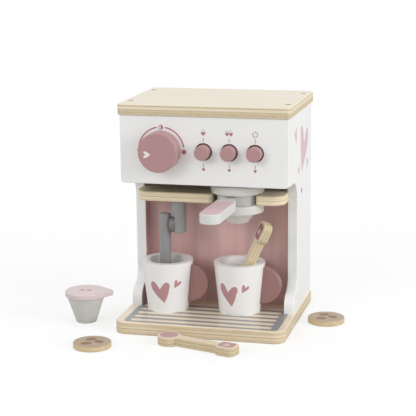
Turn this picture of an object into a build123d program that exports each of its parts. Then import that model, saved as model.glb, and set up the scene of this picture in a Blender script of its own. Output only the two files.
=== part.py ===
from build123d import *

import math
import os

# Toy coffee maker: a wooden play espresso machine with its mugs, stirrers, capsule and bean discs.
# Millimetres, +Z up.  The front faces -Y and +X is on the right of somebody who plays with it.
# The origin is the middle of the underside of the base plate.

# ---------------------------------------------------------------- driving dimensions
BODY_WIDTH = 180.0
BOARD = 11.0
FRONT_BOARD = 10.0
FRONT_Y = -50.0
REAR_Y = 81.5
HEAD_BOTTOM = 156.5
TOP_UNDERSIDE = 228.8

BASE_WIDTH = 183.0
BASE_DEPTH = 166.0
BASE_THICK = 13.5
BASE_CORNER = 12.5
BASE_REAR_CORNER = 4.0
EDGE_ROUND = 1.5

TOP_WIDTH = 184.2
TOP_DEPTH = 136.0
TOP_THICK = 11.8
TOP_FRONT_Y = -52.0
TOP_CORNER = 3.5
PANEL_CORNER = 4.0

COLUMN_FRONT_Y = 2.5
COVE_RADIUS = 23.5
FOOT_FRONT_Y = -18.5
FOOT_TOP_Z = 50.0
FOOT_TOE_Z = 20.0
LACQUER_ROUND = 1.0

SHELF_UNDERSIDE = 133.5
SHELF_THICK = 10.0
SHELF_FRONT_Y = -28.5
SHELF_REAR_Y = 45.0
SHELF_CORNER = 14.5
SHELF_LIP_HALF_WIDTH = 80.5
SHELF_LIP_REAR_Y = -0.7
NOTCH_X = 27.0
NOTCH_HALF_WIDTH = 23.8
NOTCH_CLEAR = 1.0
NOTCH_LEFT_CORNER = 5.0
NOTCH_RIGHT_CORNER = 3.0
SHELF_SCREW_Y = 25.5
SHELF_SCREW_RISE = 6.6

BACK_PANEL_Y = 17.0
BACK_PANEL_THICK = 6.0
REAR_COVER_THICK = 4.0
REAR_COVER_INSET = 0.5

KNOB_X = -44.9
KNOB_Z = 192.6
KNOB_RADIUS = 20.9
KNOB_FRONT_Y = -67.0
KNOB_GAP = 0.5
SPINDLE_RADIUS = 4.0
SPINDLE_SINK = 8.0
RUNNING_GAP = 0.08
WASHER_RADIUS = 9.0
WASHER_THICK = 3.0
WASHER_GAP = 0.4

BUTTON_FIRST_X = 0.3
BUTTON_PITCH = 27.4
BUTTON_Z = 192.4
BUTTON_RADIUS = 7.8
BUTTON_HOLE_RADIUS = 9.2
BUTTON_PROUD = 9.8
BUTTON_FLANGE_RADIUS = 11.2
BUTTON_FLANGE_THICK = 3.0
BUTTON_FLANGE_GAP = 0.3
BUTTON_SPIGOT_RADIUS = 3.2
BUTTON_SPIGOT_LENGTH = 4.0
BUTTON_NAMES = ["left", "middle", "right"]
SPRING_MEAN_RADIUS = 5.0
SPRING_WIRE_RADIUS = 0.5
SPRING_TURNS = 5
RAIL_FRONT_Y = -22.0
RAIL_DEPTH = 10.0
RAIL_HEIGHT = 20.0

FILTER_X = 28.0
FILTER_Y = -13.0
COLLAR_RADIUS = 28.5
COLLAR_HEIGHT = 10.7
COLLAR_GAP = 0.3
COLLAR_ROUND = 3.0
NECK_RADIUS = 22.3
FLANGE_GAP = 0.5
FLANGE_RADIUS = 28.0
FLANGE_HEIGHT = 10.0
FLANGE_ROUND = 2.0
BASKET_TOP_RADIUS = 19.7
BASKET_BOTTOM_RADIUS = 11.5
BASKET_HEIGHT = 11.5
PIVOT_DOWEL_RADIUS = 5.0
PIVOT_DOWEL_SINK = 7.0
HANDLE_SWIVEL = -2.2
HANDLE_OFFSET = -1.5
HANDLE_WIDTH = 21.7
HANDLE_THICK = 9.6
GRIP_DROP = 0.8
HANDLE_ROOT = 43.0
HANDLE_END = 109.0
HANDLE_ROOT_WIDTH = 11.0
HANDLE_END_ROUND = 9.8
INLAY_RIM = 0.6
INLAY_THICK = 1.0
HANDLE_DOWEL_RADIUS = 3.0
HANDLE_DOWEL_FROM = 8.0
HANDLE_DOWEL_TO = 60.0

ROD_X = -36.85
WAND_Y = -15.0
ROD_RADIUS = 8.3
ROD_BOTTOM = 97.3
ROD_TENON_RADIUS = 6.0
ROD_TENON_LENGTH = 7.0
ROD_FLAT = 2.5
ARM_X = -52.3
ARM_RADIUS = 6.4
ARM_FLAT = 5.6
ARM_TOP = 117.9
ARM_BOTTOM = 58.0
ARM_ROUND = 3.0
HUB_RADIUS = 8.7
HUB_ROUND = 2.5
HUB_Z = 105.9
HUB_GAP = 0.1
WAND_PIN_RADIUS = 2.5
WAND_PIN_IN_ARM = 3.5
WAND_PIN_IN_ROD = 3.75

MUG_HEIGHT = 54.8
MUG_RIM_RADIUS = 27.6
MUG_BASE_RADIUS = 22.2
MUG_BASE_ROUND = 3.2
MUG_WALL = 6.6
MUG_FLOOR = 13.0
MUG_FLOOR_RADIUS = 19.6
MUG_RIM_ROUND = 2.4
MUG_HANDLE_RADIUS = 20.4
MUG_HANDLE_THICK = 8.0
MUG_HANDLE_OFFSET = 25.4
MUG_HANDLE_HEIGHT = 30.2
MUG_SLOT_DEPTH = 3.5
MUG_PLACES = {"left": (-48.4, -20.4), "right": (30.0, -14.6)}

STIRRER_THICK = 9.6
STIRRER_PADDLE_RADIUS = 12.0
STIRRER_SHAFT_WIDTH = 10.2
STIRRER_HEAD_WIDTH = 19.0
STIRRER_HEAD_LENGTH = 22.0
STIRRER_HEAD_ROUND = 6.0
STIRRER_REACH = 79.8
STIRRER_EDGE_ROUND = 0.8
LYING_STIRRER_PLACE = (-24.6, -102.8)
LYING_STIRRER_TURN = -16.5
LEANING_STIRRER_TIP = (61.9, -20.3, 112.4)
LEANING_STIRRER_LEAN = (0.410, 0.013, 0.912)
LEANING_STIRRER_ROLL = 29.7

CAPSULE_PLACE = (-134.3, -46.0)
CAPSULE_BASE_RADIUS = 10.7
CAPSULE_MOUTH_RADIUS = 20.6
CAPSULE_HEIGHT = 29.2
LID_RADIUS = 22.3
LID_THICK = 5.6
LID_TAB_REACH = 25.8
LID_TAB_RADIUS = 4.0
LID_TURN = 13.0
LID_PLUG_RADIUS = 15.0
LID_PLUG_DEPTH = 4.0
PLUG_OVERLAP = 1.0

DISC_RADIUS = 19.7
DISC_THICK = 5.5
DISC_PLACES = {"left": (-99.3, -129.2), "right": (120.8, 7.5)}

DOWEL_RADIUS = 3.2
TOP_DOWEL_PLACES = [(84.8, -25.5), (84.8, 61.5)]
TOP_DOWEL_LENGTH = 30.0
PANEL_DOWEL_RADIUS = 3.0
PANEL_DOWEL_LENGTH = 16.0
PANEL_DOWEL_HEIGHTS = [172.0, 213.0]
RAIL_DOWEL_LENGTH = 14.0
SCREW_RADIUS = 1.8
SCREW_HEAD_RADIUS = 3.5
SCREW_HEAD_HEIGHT = 2.2
SCREW_LENGTH = 28.0
SCREW_RECESS = 0.4
BASE_SCREW_DEPTHS = [5.0, 66.0]
COVER_SCREW_LENGTH = 12.0
COVER_SCREW_RADIUS = 1.2
COVER_SCREW_HEAD_RADIUS = 2.6
COVER_SCREW_HEAD_HEIGHT = 1.5
COVER_BATTEN = 10.0
COVER_SCREW_MARGIN = 5.0
COVER_SCREW_HEIGHTS = [30.0, 120.0, 210.0]

# ---------------------------------------------------------------- worked out from them
HALF_BODY = BODY_WIDTH / 2
INNER_X = HALF_BODY - BOARD
PANEL_MID_X = HALF_BODY - BOARD / 2
PANEL_REAR_Y = FRONT_Y + FRONT_BOARD
HEIGHT = TOP_UNDERSIDE + TOP_THICK
SHELF_TOP = SHELF_UNDERSIDE + SHELF_THICK
COLLAR_BOTTOM = SHELF_TOP + COLLAR_GAP
FLANGE_TOP = SHELF_UNDERSIDE - FLANGE_GAP
FLANGE_BOTTOM = FLANGE_TOP - FLANGE_HEIGHT
BASKET_BOTTOM = FLANGE_BOTTOM - BASKET_HEIGHT
REAR_COVER_REAR_Y = REAR_Y - REAR_COVER_INSET
REAR_COVER_FRONT_Y = REAR_COVER_REAR_Y - REAR_COVER_THICK
BUTTON_REAR_Y = PANEL_REAR_Y + BUTTON_FLANGE_GAP
SPRING_FRONT_Y = BUTTON_REAR_Y + BUTTON_FLANGE_THICK
ROD_FLAT_X = ROD_X - ROD_FLAT
ARM_FLAT_X = ARM_X + ARM_FLAT


def box_between(low, high):
    """Upright box from its lowest to its highest corner."""
    size = [high[axis] - low[axis] for axis in range(3)]
    middle = [(high[axis] + low[axis]) / 2 for axis in range(3)]
    return Pos(*middle) * Box(*size)


def rod_x(x_from, x_to, y, z, radius):
    """Round rod along X."""
    return Pos((x_from + x_to) / 2, y, z) * Rot(0, 90, 0) * Cylinder(radius, abs(x_to - x_from))


def rod_y(x, y_from, y_to, z, radius):
    """Round rod along Y."""
    return Pos(x, (y_from + y_to) / 2, z) * Rot(90, 0, 0) * Cylinder(radius, abs(y_to - y_from))


def rod_z(x, y, z_from, z_to, radius):
    """Round rod along Z."""
    return Pos(x, y, (z_from + z_to) / 2) * Cylinder(radius, abs(z_to - z_from))


def rounded_plate(width, depth, thick, radii, edge):
    """Plate centred on X and Y, resting on z = 0, with radii for its front and its rear corners."""
    front, rear = radii
    plate = Pos(0, 0, thick / 2) * Box(width, depth, thick)
    uprights = plate.edges().filter_by(Axis.Z)
    plate = fillet(uprights.group_by(Axis.Y)[0], front)
    plate = fillet(plate.edges().filter_by(Axis.Z).group_by(Axis.Y)[-1], rear)
    rims = plate.faces().sort_by(Axis.Z)[-1].edges() + plate.faces().sort_by(Axis.Z)[0].edges()
    return fillet(rims, edge)


# ---------------------------------------------------------------- carcass
def screw_x(side, y, z):
    """Screw through a side panel, head just under the outer face, pointing to the middle."""
    head_out = side * (HALF_BODY - SCREW_RECESS)
    head_in = head_out - side * SCREW_HEAD_HEIGHT
    shank_end = head_out - side * SCREW_LENGTH
    head = rod_x(head_in, head_out, y, z, DOWEL_RADIUS)
    return head + rod_x(shank_end, head_in, y, z, SCREW_RADIUS)


def base_screw(side, y):
    """Screw up through the base plate into the foot of a side panel."""
    x = side * PANEL_MID_X
    head = rod_z(x, y, SCREW_RECESS, SCREW_RECESS + SCREW_HEAD_HEIGHT, SCREW_HEAD_RADIUS)
    return head + rod_z(x, y, SCREW_RECESS, SCREW_RECESS + SCREW_LENGTH, SCREW_RADIUS)


def rail_dowel(side):
    """Blind dowel between the end of the spring rail and a side panel."""
    half = RAIL_DOWEL_LENGTH / 2
    x = side * INNER_X
    return rod_x(x - half, x + half, RAIL_FRONT_Y + RAIL_DEPTH / 2, BUTTON_Z, PANEL_DOWEL_RADIUS)


def cover_screw(side, z):
    """Small screw through the rear cover into its batten."""
    x = side * (INNER_X - COVER_SCREW_MARGIN)
    rear = REAR_COVER_REAR_Y
    head = rod_y(x, rear - COVER_SCREW_HEAD_HEIGHT, rear, z, COVER_SCREW_HEAD_RADIUS)
    return head + rod_y(x, rear - COVER_SCREW_LENGTH, rear, z, COVER_SCREW_RADIUS)


def top_dowel(x, y):
    """Dowel through the top plate into a side panel, flush with the top."""
    return rod_z(x, y, HEIGHT - TOP_DOWEL_LENGTH, HEIGHT, DOWEL_RADIUS)


def panel_dowel(side, z):
    """Blind dowel between the front panel and a side panel."""
    half = PANEL_DOWEL_LENGTH / 2
    return rod_y(side * PANEL_MID_X, PANEL_REAR_Y - half, PANEL_REAR_Y + half, z, PANEL_DOWEL_RADIUS)


SIDES = [-1, 1]
BASE_SCREWS = [base_screw(side, y) for side in SIDES for y in BASE_SCREW_DEPTHS]
SHELF_SCREWS = [screw_x(side, SHELF_SCREW_Y, SHELF_UNDERSIDE + SHELF_SCREW_RISE) for side in SIDES]
RAIL_DOWELS = [rail_dowel(side) for side in SIDES]
COVER_SCREWS = [cover_screw(side, z) for side in SIDES for z in COVER_SCREW_HEIGHTS]
TOP_DOWELS = [top_dowel(side * x, y) for side in SIDES for x, y in TOP_DOWEL_PLACES]
PANEL_DOWELS = [panel_dowel(side, z) for side in SIDES for z in PANEL_DOWEL_HEIGHTS]


def minus_all(body, tools):
    """Body with every tool cut out of it."""
    for tool in tools:
        body = body - tool
    return body


def make_base_plate():
    plate = rounded_plate(BASE_WIDTH, BASE_DEPTH, BASE_THICK, (BASE_CORNER, BASE_REAR_CORNER), EDGE_ROUND)
    for screw in BASE_SCREWS:
        centre = screw.bounding_box().center()
        well = rod_z(centre.X, centre.Y, 0, SCREW_RECESS + SCREW_HEAD_HEIGHT, SCREW_HEAD_RADIUS)
        plate = plate - well - screw
    return plate


def make_side_panel(side):
    """One board: head side, cove under the head, column and foot that flares to the front."""
    cove_top = (COLUMN_FRONT_Y - COVE_RADIUS, HEAD_BOTTOM)
    cove_end = (COLUMN_FRONT_Y, HEAD_BOTTOM - COVE_RADIUS)
    foot_mid = ((COLUMN_FRONT_Y + FOOT_FRONT_Y) / 2, (FOOT_TOP_Z + FOOT_TOE_Z) / 2)
    foot_start = (COLUMN_FRONT_Y, FOOT_TOP_Z)
    foot_toe = (FOOT_FRONT_Y, FOOT_TOE_Z)
    with BuildSketch(Plane.YZ) as profile:
        with BuildLine():
            Polyline((PANEL_REAR_Y, TOP_UNDERSIDE), (PANEL_REAR_Y, HEAD_BOTTOM), cove_top)
            TangentArc(cove_top, cove_end, tangent=(1, 0))
            Line(cove_end, foot_start)
            upper = TangentArc(foot_start, foot_mid, tangent=(0, -1))
            TangentArc(foot_mid, foot_toe, tangent=upper % 1)
            Polyline(foot_toe, (FOOT_FRONT_Y, BASE_THICK), (REAR_Y, BASE_THICK), (REAR_Y, TOP_UNDERSIDE),
                     (PANEL_REAR_Y, TOP_UNDERSIDE))
        make_face()
    board = Pos(side * PANEL_MID_X, 0, 0) * extrude(profile.sketch, BOARD / 2, both=True)
    front_edges = [edge for edge in board.edges()
                   if edge.center().Y < COLUMN_FRONT_Y + LACQUER_ROUND
                   and abs(abs(edge.center().X) - PANEL_MID_X) > BOARD / 4
                   and FOOT_TOE_Z < edge.center().Z < HEAD_BOTTOM - LACQUER_ROUND]
    board = fillet(front_edges, LACQUER_ROUND)
    board = minus_all(board, SHELF_SCREWS + RAIL_DOWELS + PANEL_DOWELS + BASE_SCREWS + TOP_DOWELS)
    mouth_depth = SCREW_RECESS + SCREW_HEAD_HEIGHT
    return board - rod_x(side * (HALF_BODY - mouth_depth), side * HALF_BODY,
                         SHELF_SCREW_Y, SHELF_UNDERSIDE + SHELF_SCREW_RISE, DOWEL_RADIUS)


def make_front_panel():
    panel = box_between((-HALF_BODY, FRONT_Y, HEAD_BOTTOM), (HALF_BODY, PANEL_REAR_Y, TOP_UNDERSIDE))
    lower = panel.edges().filter_by(Axis.Y).group_by(Axis.Z)[0]
    panel = fillet(lower, PANEL_CORNER)
    front_rim = panel.faces().sort_by(Axis.Y)[0].edges()
    panel = fillet(front_rim, LACQUER_ROUND)
    for x in BUTTON_XS:
        panel = panel - rod_y(x, FRONT_Y, PANEL_REAR_Y, BUTTON_Z, BUTTON_HOLE_RADIUS)
    panel = panel - rod_y(KNOB_X, FRONT_Y, PANEL_REAR_Y, KNOB_Z, SPINDLE_RADIUS + RUNNING_GAP)
    return minus_all(panel, PANEL_DOWELS)


def make_top_plate():
    plate = rounded_plate(TOP_WIDTH, TOP_DEPTH, TOP_THICK, (TOP_CORNER, TOP_CORNER), EDGE_ROUND)
    plate = Pos(0, TOP_FRONT_Y + TOP_DEPTH / 2, TOP_UNDERSIDE) * plate
    return minus_all(plate, TOP_DOWELS)


def make_shelf_plate():
    """Shelf between the side panels, whose front lip laps them and has a notch for the filter holder."""
    plate = box_between((-INNER_X, SHELF_FRONT_Y, SHELF_UNDERSIDE), (INNER_X, SHELF_REAR_Y, SHELF_TOP))
    lip = box_between((-SHELF_LIP_HALF_WIDTH, SHELF_FRONT_Y, SHELF_UNDERSIDE),
                      (SHELF_LIP_HALF_WIDTH, SHELF_LIP_REAR_Y, SHELF_TOP))
    plate = plate + lip
    plate = fillet(plate.edges().filter_by(Axis.Z).group_by(Axis.Y)[0], SHELF_CORNER)
    mouth = box_between((NOTCH_X - NOTCH_HALF_WIDTH, SHELF_FRONT_Y - NOTCH_CLEAR, SHELF_UNDERSIDE),
                        (NOTCH_X + NOTCH_HALF_WIDTH, FILTER_Y, SHELF_TOP))
    plate = plate - mouth
    for side, radius in zip(SIDES, (NOTCH_LEFT_CORNER, NOTCH_RIGHT_CORNER)):
        lip_edges = [edge for edge in plate.edges().filter_by(Axis.Z)
                     if abs(edge.center().X - NOTCH_X - side * NOTCH_HALF_WIDTH) < LACQUER_ROUND
                     and edge.center().Y < SHELF_FRONT_Y + LACQUER_ROUND]
        plate = fillet(lip_edges, radius)
    plate = plate - rod_z(NOTCH_X, FILTER_Y, SHELF_UNDERSIDE, SHELF_TOP, NOTCH_HALF_WIDTH)
    tenon_top = SHELF_UNDERSIDE + ROD_TENON_LENGTH
    plate = plate - rod_z(ROD_X, WAND_Y, SHELF_UNDERSIDE, tenon_top, ROD_TENON_RADIUS)
    return minus_all(plate, SHELF_SCREWS)


def make_back_panel():
    return box_between((-INNER_X, BACK_PANEL_Y, BASE_THICK),
                       (INNER_X, BACK_PANEL_Y + BACK_PANEL_THICK, SHELF_UNDERSIDE))


def make_rear_cover():
    cover = box_between((-INNER_X, REAR_COVER_FRONT_Y, BASE_THICK),
                        (INNER_X, REAR_COVER_REAR_Y, TOP_UNDERSIDE))
    return minus_all(cover, COVER_SCREWS)


def make_cover_batten(side):
    """Batten along the rear of a side panel that the cover is screwed to."""
    outer = side * INNER_X
    inner = side * (INNER_X - COVER_BATTEN)
    batten = box_between((min(outer, inner), REAR_COVER_FRONT_Y - COVER_BATTEN, BASE_THICK),
                         (max(outer, inner), REAR_COVER_FRONT_Y, TOP_UNDERSIDE))
    return minus_all(batten, COVER_SCREWS)


def make_spring_rail():
    rail = box_between((-INNER_X, RAIL_FRONT_Y, BUTTON_Z - RAIL_HEIGHT / 2),
                       (INNER_X, RAIL_FRONT_Y + RAIL_DEPTH, BUTTON_Z + RAIL_HEIGHT / 2))
    return minus_all(rail, RAIL_DOWELS)


# ---------------------------------------------------------------- knob and buttons
BUTTON_XS = [BUTTON_FIRST_X + BUTTON_PITCH * index for index in range(len(BUTTON_NAMES))]
SPINDLE_FRONT_Y = KNOB_FRONT_Y + SPINDLE_SINK
WASHER_FRONT_Y = PANEL_REAR_Y + WASHER_GAP
WASHER_REAR_Y = WASHER_FRONT_Y + WASHER_THICK


def make_spindle():
    return rod_y(KNOB_X, SPINDLE_FRONT_Y, WASHER_REAR_Y, KNOB_Z, SPINDLE_RADIUS)


def make_knob():
    knob = rod_y(KNOB_X, KNOB_FRONT_Y, FRONT_Y - KNOB_GAP, KNOB_Z, KNOB_RADIUS)
    knob = fillet(knob.edges().group_by(Axis.Y)[0], EDGE_ROUND)
    return knob - make_spindle()


def make_knob_washer():
    return rod_y(KNOB_X, WASHER_FRONT_Y, WASHER_REAR_Y, KNOB_Z, WASHER_RADIUS) - make_spindle()


def make_button(x):
    """Plug with a flange behind the panel and a spigot that centres its spring."""
    plug = rod_y(x, FRONT_Y - BUTTON_PROUD, BUTTON_REAR_Y, BUTTON_Z, BUTTON_RADIUS)
    plug = fillet(plug.edges().group_by(Axis.Y)[0], LACQUER_ROUND)
    flange = rod_y(x, BUTTON_REAR_Y, SPRING_FRONT_Y, BUTTON_Z, BUTTON_FLANGE_RADIUS)
    spigot = rod_y(x, SPRING_FRONT_Y, SPRING_FRONT_Y + BUTTON_SPIGOT_LENGTH, BUTTON_Z, BUTTON_SPIGOT_RADIUS)
    return plug + flange + spigot


def make_button_spring(x):
    """Coil between the flange and the rail."""
    length = RAIL_FRONT_Y - SPRING_FRONT_Y - 2 * SPRING_WIRE_RADIUS
    path = Helix(length / SPRING_TURNS, length, SPRING_MEAN_RADIUS)
    section = Plane(path @ 0, z_dir=path % 0) * Circle(SPRING_WIRE_RADIUS)
    coil = sweep(section, path=path)
    return Pos(x, RAIL_FRONT_Y - SPRING_WIRE_RADIUS, BUTTON_Z) * Rot(90, 0, 0) * coil


# ---------------------------------------------------------------- filter holder
def filter_place():
    """The filter holder is modelled about its own axis with the handle along -Y."""
    return Pos(FILTER_X, FILTER_Y, 0) * Rot(0, 0, HANDLE_SWIVEL)


def handle_outline(rim):
    """Plan of the handle, drawn in by a rim: narrow at the neck, rounded at its end."""
    half = HANDLE_WIDTH / 2 - rim
    length = HANDLE_END - HANDLE_ROOT - 2 * rim
    outline = Pos(HANDLE_OFFSET, -(HANDLE_ROOT + HANDLE_END) / 2) * Rectangle(2 * half, length)
    return fillet(outline.vertices().group_by(Axis.Y)[0], HANDLE_END_ROUND - rim)


def make_filter_dowel():
    height = FLANGE_TOP + HANDLE_THICK / 2
    dowel = rod_y(HANDLE_OFFSET, -HANDLE_DOWEL_TO, -HANDLE_DOWEL_FROM, height, HANDLE_DOWEL_RADIUS)
    return filter_place() * dowel


def make_filter_pivot():
    dowel = rod_z(0, 0, FLANGE_TOP, COLLAR_BOTTOM + PIVOT_DOWEL_SINK, PIVOT_DOWEL_RADIUS)
    return filter_place() * dowel


def make_collar():
    collar = rod_z(0, 0, COLLAR_BOTTOM, COLLAR_BOTTOM + COLLAR_HEIGHT, COLLAR_RADIUS)
    collar = fillet(collar.edges().filter_by(GeomType.CIRCLE), COLLAR_ROUND)
    bore = rod_z(0, 0, COLLAR_BOTTOM, COLLAR_BOTTOM + PIVOT_DOWEL_SINK + COLLAR_GAP,
                 PIVOT_DOWEL_RADIUS + RUNNING_GAP)
    return filter_place() * (collar - bore)


def make_neck():
    neck = filter_place() * rod_z(0, 0, FLANGE_TOP, COLLAR_BOTTOM, NECK_RADIUS)
    return minus_all(neck, [make_filter_pivot(), make_filter_dowel()])


def make_flange():
    flange = rod_z(0, 0, FLANGE_BOTTOM, FLANGE_TOP, FLANGE_RADIUS)
    flange = fillet(flange.edges().filter_by(GeomType.CIRCLE), FLANGE_ROUND)
    return filter_place() * flange


def make_basket():
    """Solid tapered block under the flange."""
    basket = Pos(0, 0, BASKET_BOTTOM + BASKET_HEIGHT / 2) * Cone(BASKET_BOTTOM_RADIUS, BASKET_TOP_RADIUS,
                                                                 BASKET_HEIGHT)
    basket = fillet(basket.edges().filter_by(GeomType.CIRCLE).sort_by(Axis.Z)[0], EDGE_ROUND)
    return filter_place() * basket


def make_inlay():
    top = FLANGE_TOP + HANDLE_THICK
    plate = extrude(Pos(0, 0, top - INLAY_THICK) * handle_outline(INLAY_RIM), INLAY_THICK)
    return filter_place() * plate


def make_handle():
    """Grip with a narrower root that stands on the flange and is let into the neck's side."""
    root_half = HANDLE_ROOT_WIDTH / 2
    grip_half = HANDLE_WIDTH / 2
    root = make_face(Polyline((-grip_half, -HANDLE_ROOT), (-root_half, -NECK_RADIUS), (0, 0),
                              (root_half, -NECK_RADIUS), (grip_half, -HANDLE_ROOT), close=True))
    grip = extrude(Pos(0, 0, FLANGE_TOP - GRIP_DROP) * handle_outline(0), HANDLE_THICK + GRIP_DROP)
    outer_rims = [edge for edge in grip.edges() if edge.center().Y < -HANDLE_ROOT - LACQUER_ROUND
                  and abs(edge.center().Z - FLANGE_TOP - HANDLE_THICK / 2) > HANDLE_THICK / 4]
    grip = fillet(outer_rims, LACQUER_ROUND)
    block = grip + extrude(Pos(HANDLE_OFFSET, 0, FLANGE_TOP) * root, HANDLE_THICK)
    block = block - rod_z(0, 0, FLANGE_TOP, FLANGE_TOP + HANDLE_THICK, NECK_RADIUS)
    block = filter_place() * block
    return minus_all(block, [make_inlay(), make_filter_dowel()])


# ---------------------------------------------------------------- steam wand
def make_wand_pin():
    return rod_x(ARM_X - WAND_PIN_IN_ARM, ROD_X + WAND_PIN_IN_ROD, WAND_Y, HUB_Z, WAND_PIN_RADIUS)


def make_wand_rod():
    rod = rod_z(ROD_X, WAND_Y, ROD_BOTTOM, SHELF_UNDERSIDE, ROD_RADIUS)
    rod = fillet(rod.edges().filter_by(GeomType.CIRCLE).sort_by(Axis.Z)[0], LACQUER_ROUND)
    rod = rod + rod_z(ROD_X, WAND_Y, SHELF_UNDERSIDE, SHELF_UNDERSIDE + ROD_TENON_LENGTH, ROD_TENON_RADIUS)
    flat_top = HUB_Z + HUB_RADIUS + LACQUER_ROUND
    rod = rod - box_between((ROD_X - 2 * ROD_RADIUS, WAND_Y - ROD_RADIUS, ROD_BOTTOM),
                            (ROD_FLAT_X, WAND_Y + ROD_RADIUS, flat_top))
    bore_end = ROD_X + WAND_PIN_IN_ROD + COLLAR_GAP
    return rod - rod_x(ROD_FLAT_X, bore_end, WAND_Y, HUB_Z, WAND_PIN_RADIUS + RUNNING_GAP)


def make_wand_hub():
    hub = rod_x(ARM_FLAT_X, ROD_FLAT_X - HUB_GAP, WAND_Y, HUB_Z, HUB_RADIUS)
    hub = fillet(hub.edges().filter_by(GeomType.CIRCLE).sort_by(Axis.X)[0], HUB_ROUND)
    return hub - make_wand_pin()


def make_wand_arm():
    arm = rod_z(ARM_X, WAND_Y, ARM_BOTTOM, ARM_TOP, ARM_RADIUS)
    arm = fillet(arm.edges().filter_by(GeomType.CIRCLE), ARM_ROUND)
    saddle = box_between((ARM_FLAT_X, WAND_Y - ARM_RADIUS, HUB_Z - HUB_RADIUS),
                         (ARM_X + 2 * ARM_RADIUS, WAND_Y + ARM_RADIUS, HUB_Z + HUB_RADIUS))
    return arm - saddle - make_wand_pin()


# ---------------------------------------------------------------- mugs
def mug_shell():
    """Turned mug about the Z axis, standing on z = 0."""
    inner_rim = MUG_RIM_RADIUS - MUG_WALL
    outline = Polyline((0, 0), (MUG_BASE_RADIUS, 0), (MUG_RIM_RADIUS, MUG_HEIGHT), (inner_rim, MUG_HEIGHT),
                       (MUG_FLOOR_RADIUS, MUG_FLOOR), (0, MUG_FLOOR), close=True)
    mug = revolve(Plane.XZ * make_face(outline), Axis.Z)
    circles = mug.edges().filter_by(GeomType.CIRCLE)
    rims = [edge for edge in circles if edge.center().Z > MUG_HEIGHT - LACQUER_ROUND]
    base = [edge for edge in circles if edge.center().Z < LACQUER_ROUND]
    floor = [edge for edge in circles if abs(edge.center().Z - MUG_FLOOR) < LACQUER_ROUND]
    mug = fillet(rims, MUG_RIM_ROUND)
    mug = fillet(base, MUG_BASE_ROUND)
    return fillet(floor, EDGE_ROUND)


def mug_handle():
    """Flat disc let into a slot in the mug's wall."""
    disc = rod_y(MUG_HANDLE_OFFSET, -MUG_HANDLE_THICK / 2, MUG_HANDLE_THICK / 2, MUG_HANDLE_HEIGHT,
                 MUG_HANDLE_RADIUS)
    disc = fillet(disc.edges().filter_by(GeomType.CIRCLE), EDGE_ROUND)
    slot_low = MUG_BASE_RADIUS - MUG_SLOT_DEPTH
    slot_high = MUG_RIM_RADIUS - MUG_SLOT_DEPTH
    slot_floor = Pos(0, 0, MUG_HEIGHT / 2) * Cone(slot_low, slot_high, MUG_HEIGHT)
    return disc - slot_floor


def make_mug(name):
    x, y = MUG_PLACES[name]
    return Pos(x, y, BASE_THICK) * (mug_shell() - mug_handle())


def make_mug_handle(name):
    x, y = MUG_PLACES[name]
    return Pos(x, y, BASE_THICK) * mug_handle()


# ---------------------------------------------------------------- stirrers, capsule and bean discs
def stirrer():
    """Flat stirrer along +X with its round paddle about the origin, resting on z = 0."""
    paddle = Circle(STIRRER_PADDLE_RADIUS)
    shaft_end = STIRRER_REACH - STIRRER_HEAD_LENGTH / 2
    shaft = Pos(shaft_end / 2, 0) * Rectangle(shaft_end, STIRRER_SHAFT_WIDTH)
    head = Pos(shaft_end, 0) * RectangleRounded(STIRRER_HEAD_LENGTH, STIRRER_HEAD_WIDTH, STIRRER_HEAD_ROUND)
    body = extrude(paddle + shaft + head, STIRRER_THICK)
    rims = body.faces().sort_by(Axis.Z)[-1].edges() + body.faces().sort_by(Axis.Z)[0].edges()
    return fillet(rims, STIRRER_EDGE_ROUND)


def make_lying_stirrer():
    x, y = LYING_STIRRER_PLACE
    return Pos(x, y, 0) * Rot(0, 0, LYING_STIRRER_TURN) * stirrer()


def make_leaning_stirrer():
    """The stirrer's length follows its lean, and its flat faces are turned about that line."""
    lean = Vector(*LEANING_STIRRER_LEAN).normalized()
    roll = math.radians(LEANING_STIRRER_ROLL)
    sideways = Vector(math.sin(roll), -math.cos(roll), 0)
    flat = lean.cross(sideways).normalized()
    start = Vector(*LEANING_STIRRER_TIP) - lean * STIRRER_REACH
    place = Plane(origin=start, x_dir=lean, z_dir=flat)
    return place * Pos(0, 0, -STIRRER_THICK / 2) * stirrer()


def capsule_at(shape):
    x, y = CAPSULE_PLACE
    return Pos(x, y, 0) * shape


def make_capsule_cup():
    """Tapered cup with a hollow that the lid's plug closes."""
    cup = Pos(0, 0, CAPSULE_HEIGHT / 2) * Cone(CAPSULE_BASE_RADIUS, CAPSULE_MOUTH_RADIUS, CAPSULE_HEIGHT)
    hollow = rod_z(0, 0, CAPSULE_HEIGHT - LID_PLUG_DEPTH, CAPSULE_HEIGHT, LID_PLUG_RADIUS)
    cup = cup - hollow
    cup = fillet(cup.edges().filter_by(GeomType.CIRCLE).sort_by(Axis.Z)[0], LACQUER_ROUND)
    return capsule_at(cup)


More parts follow.
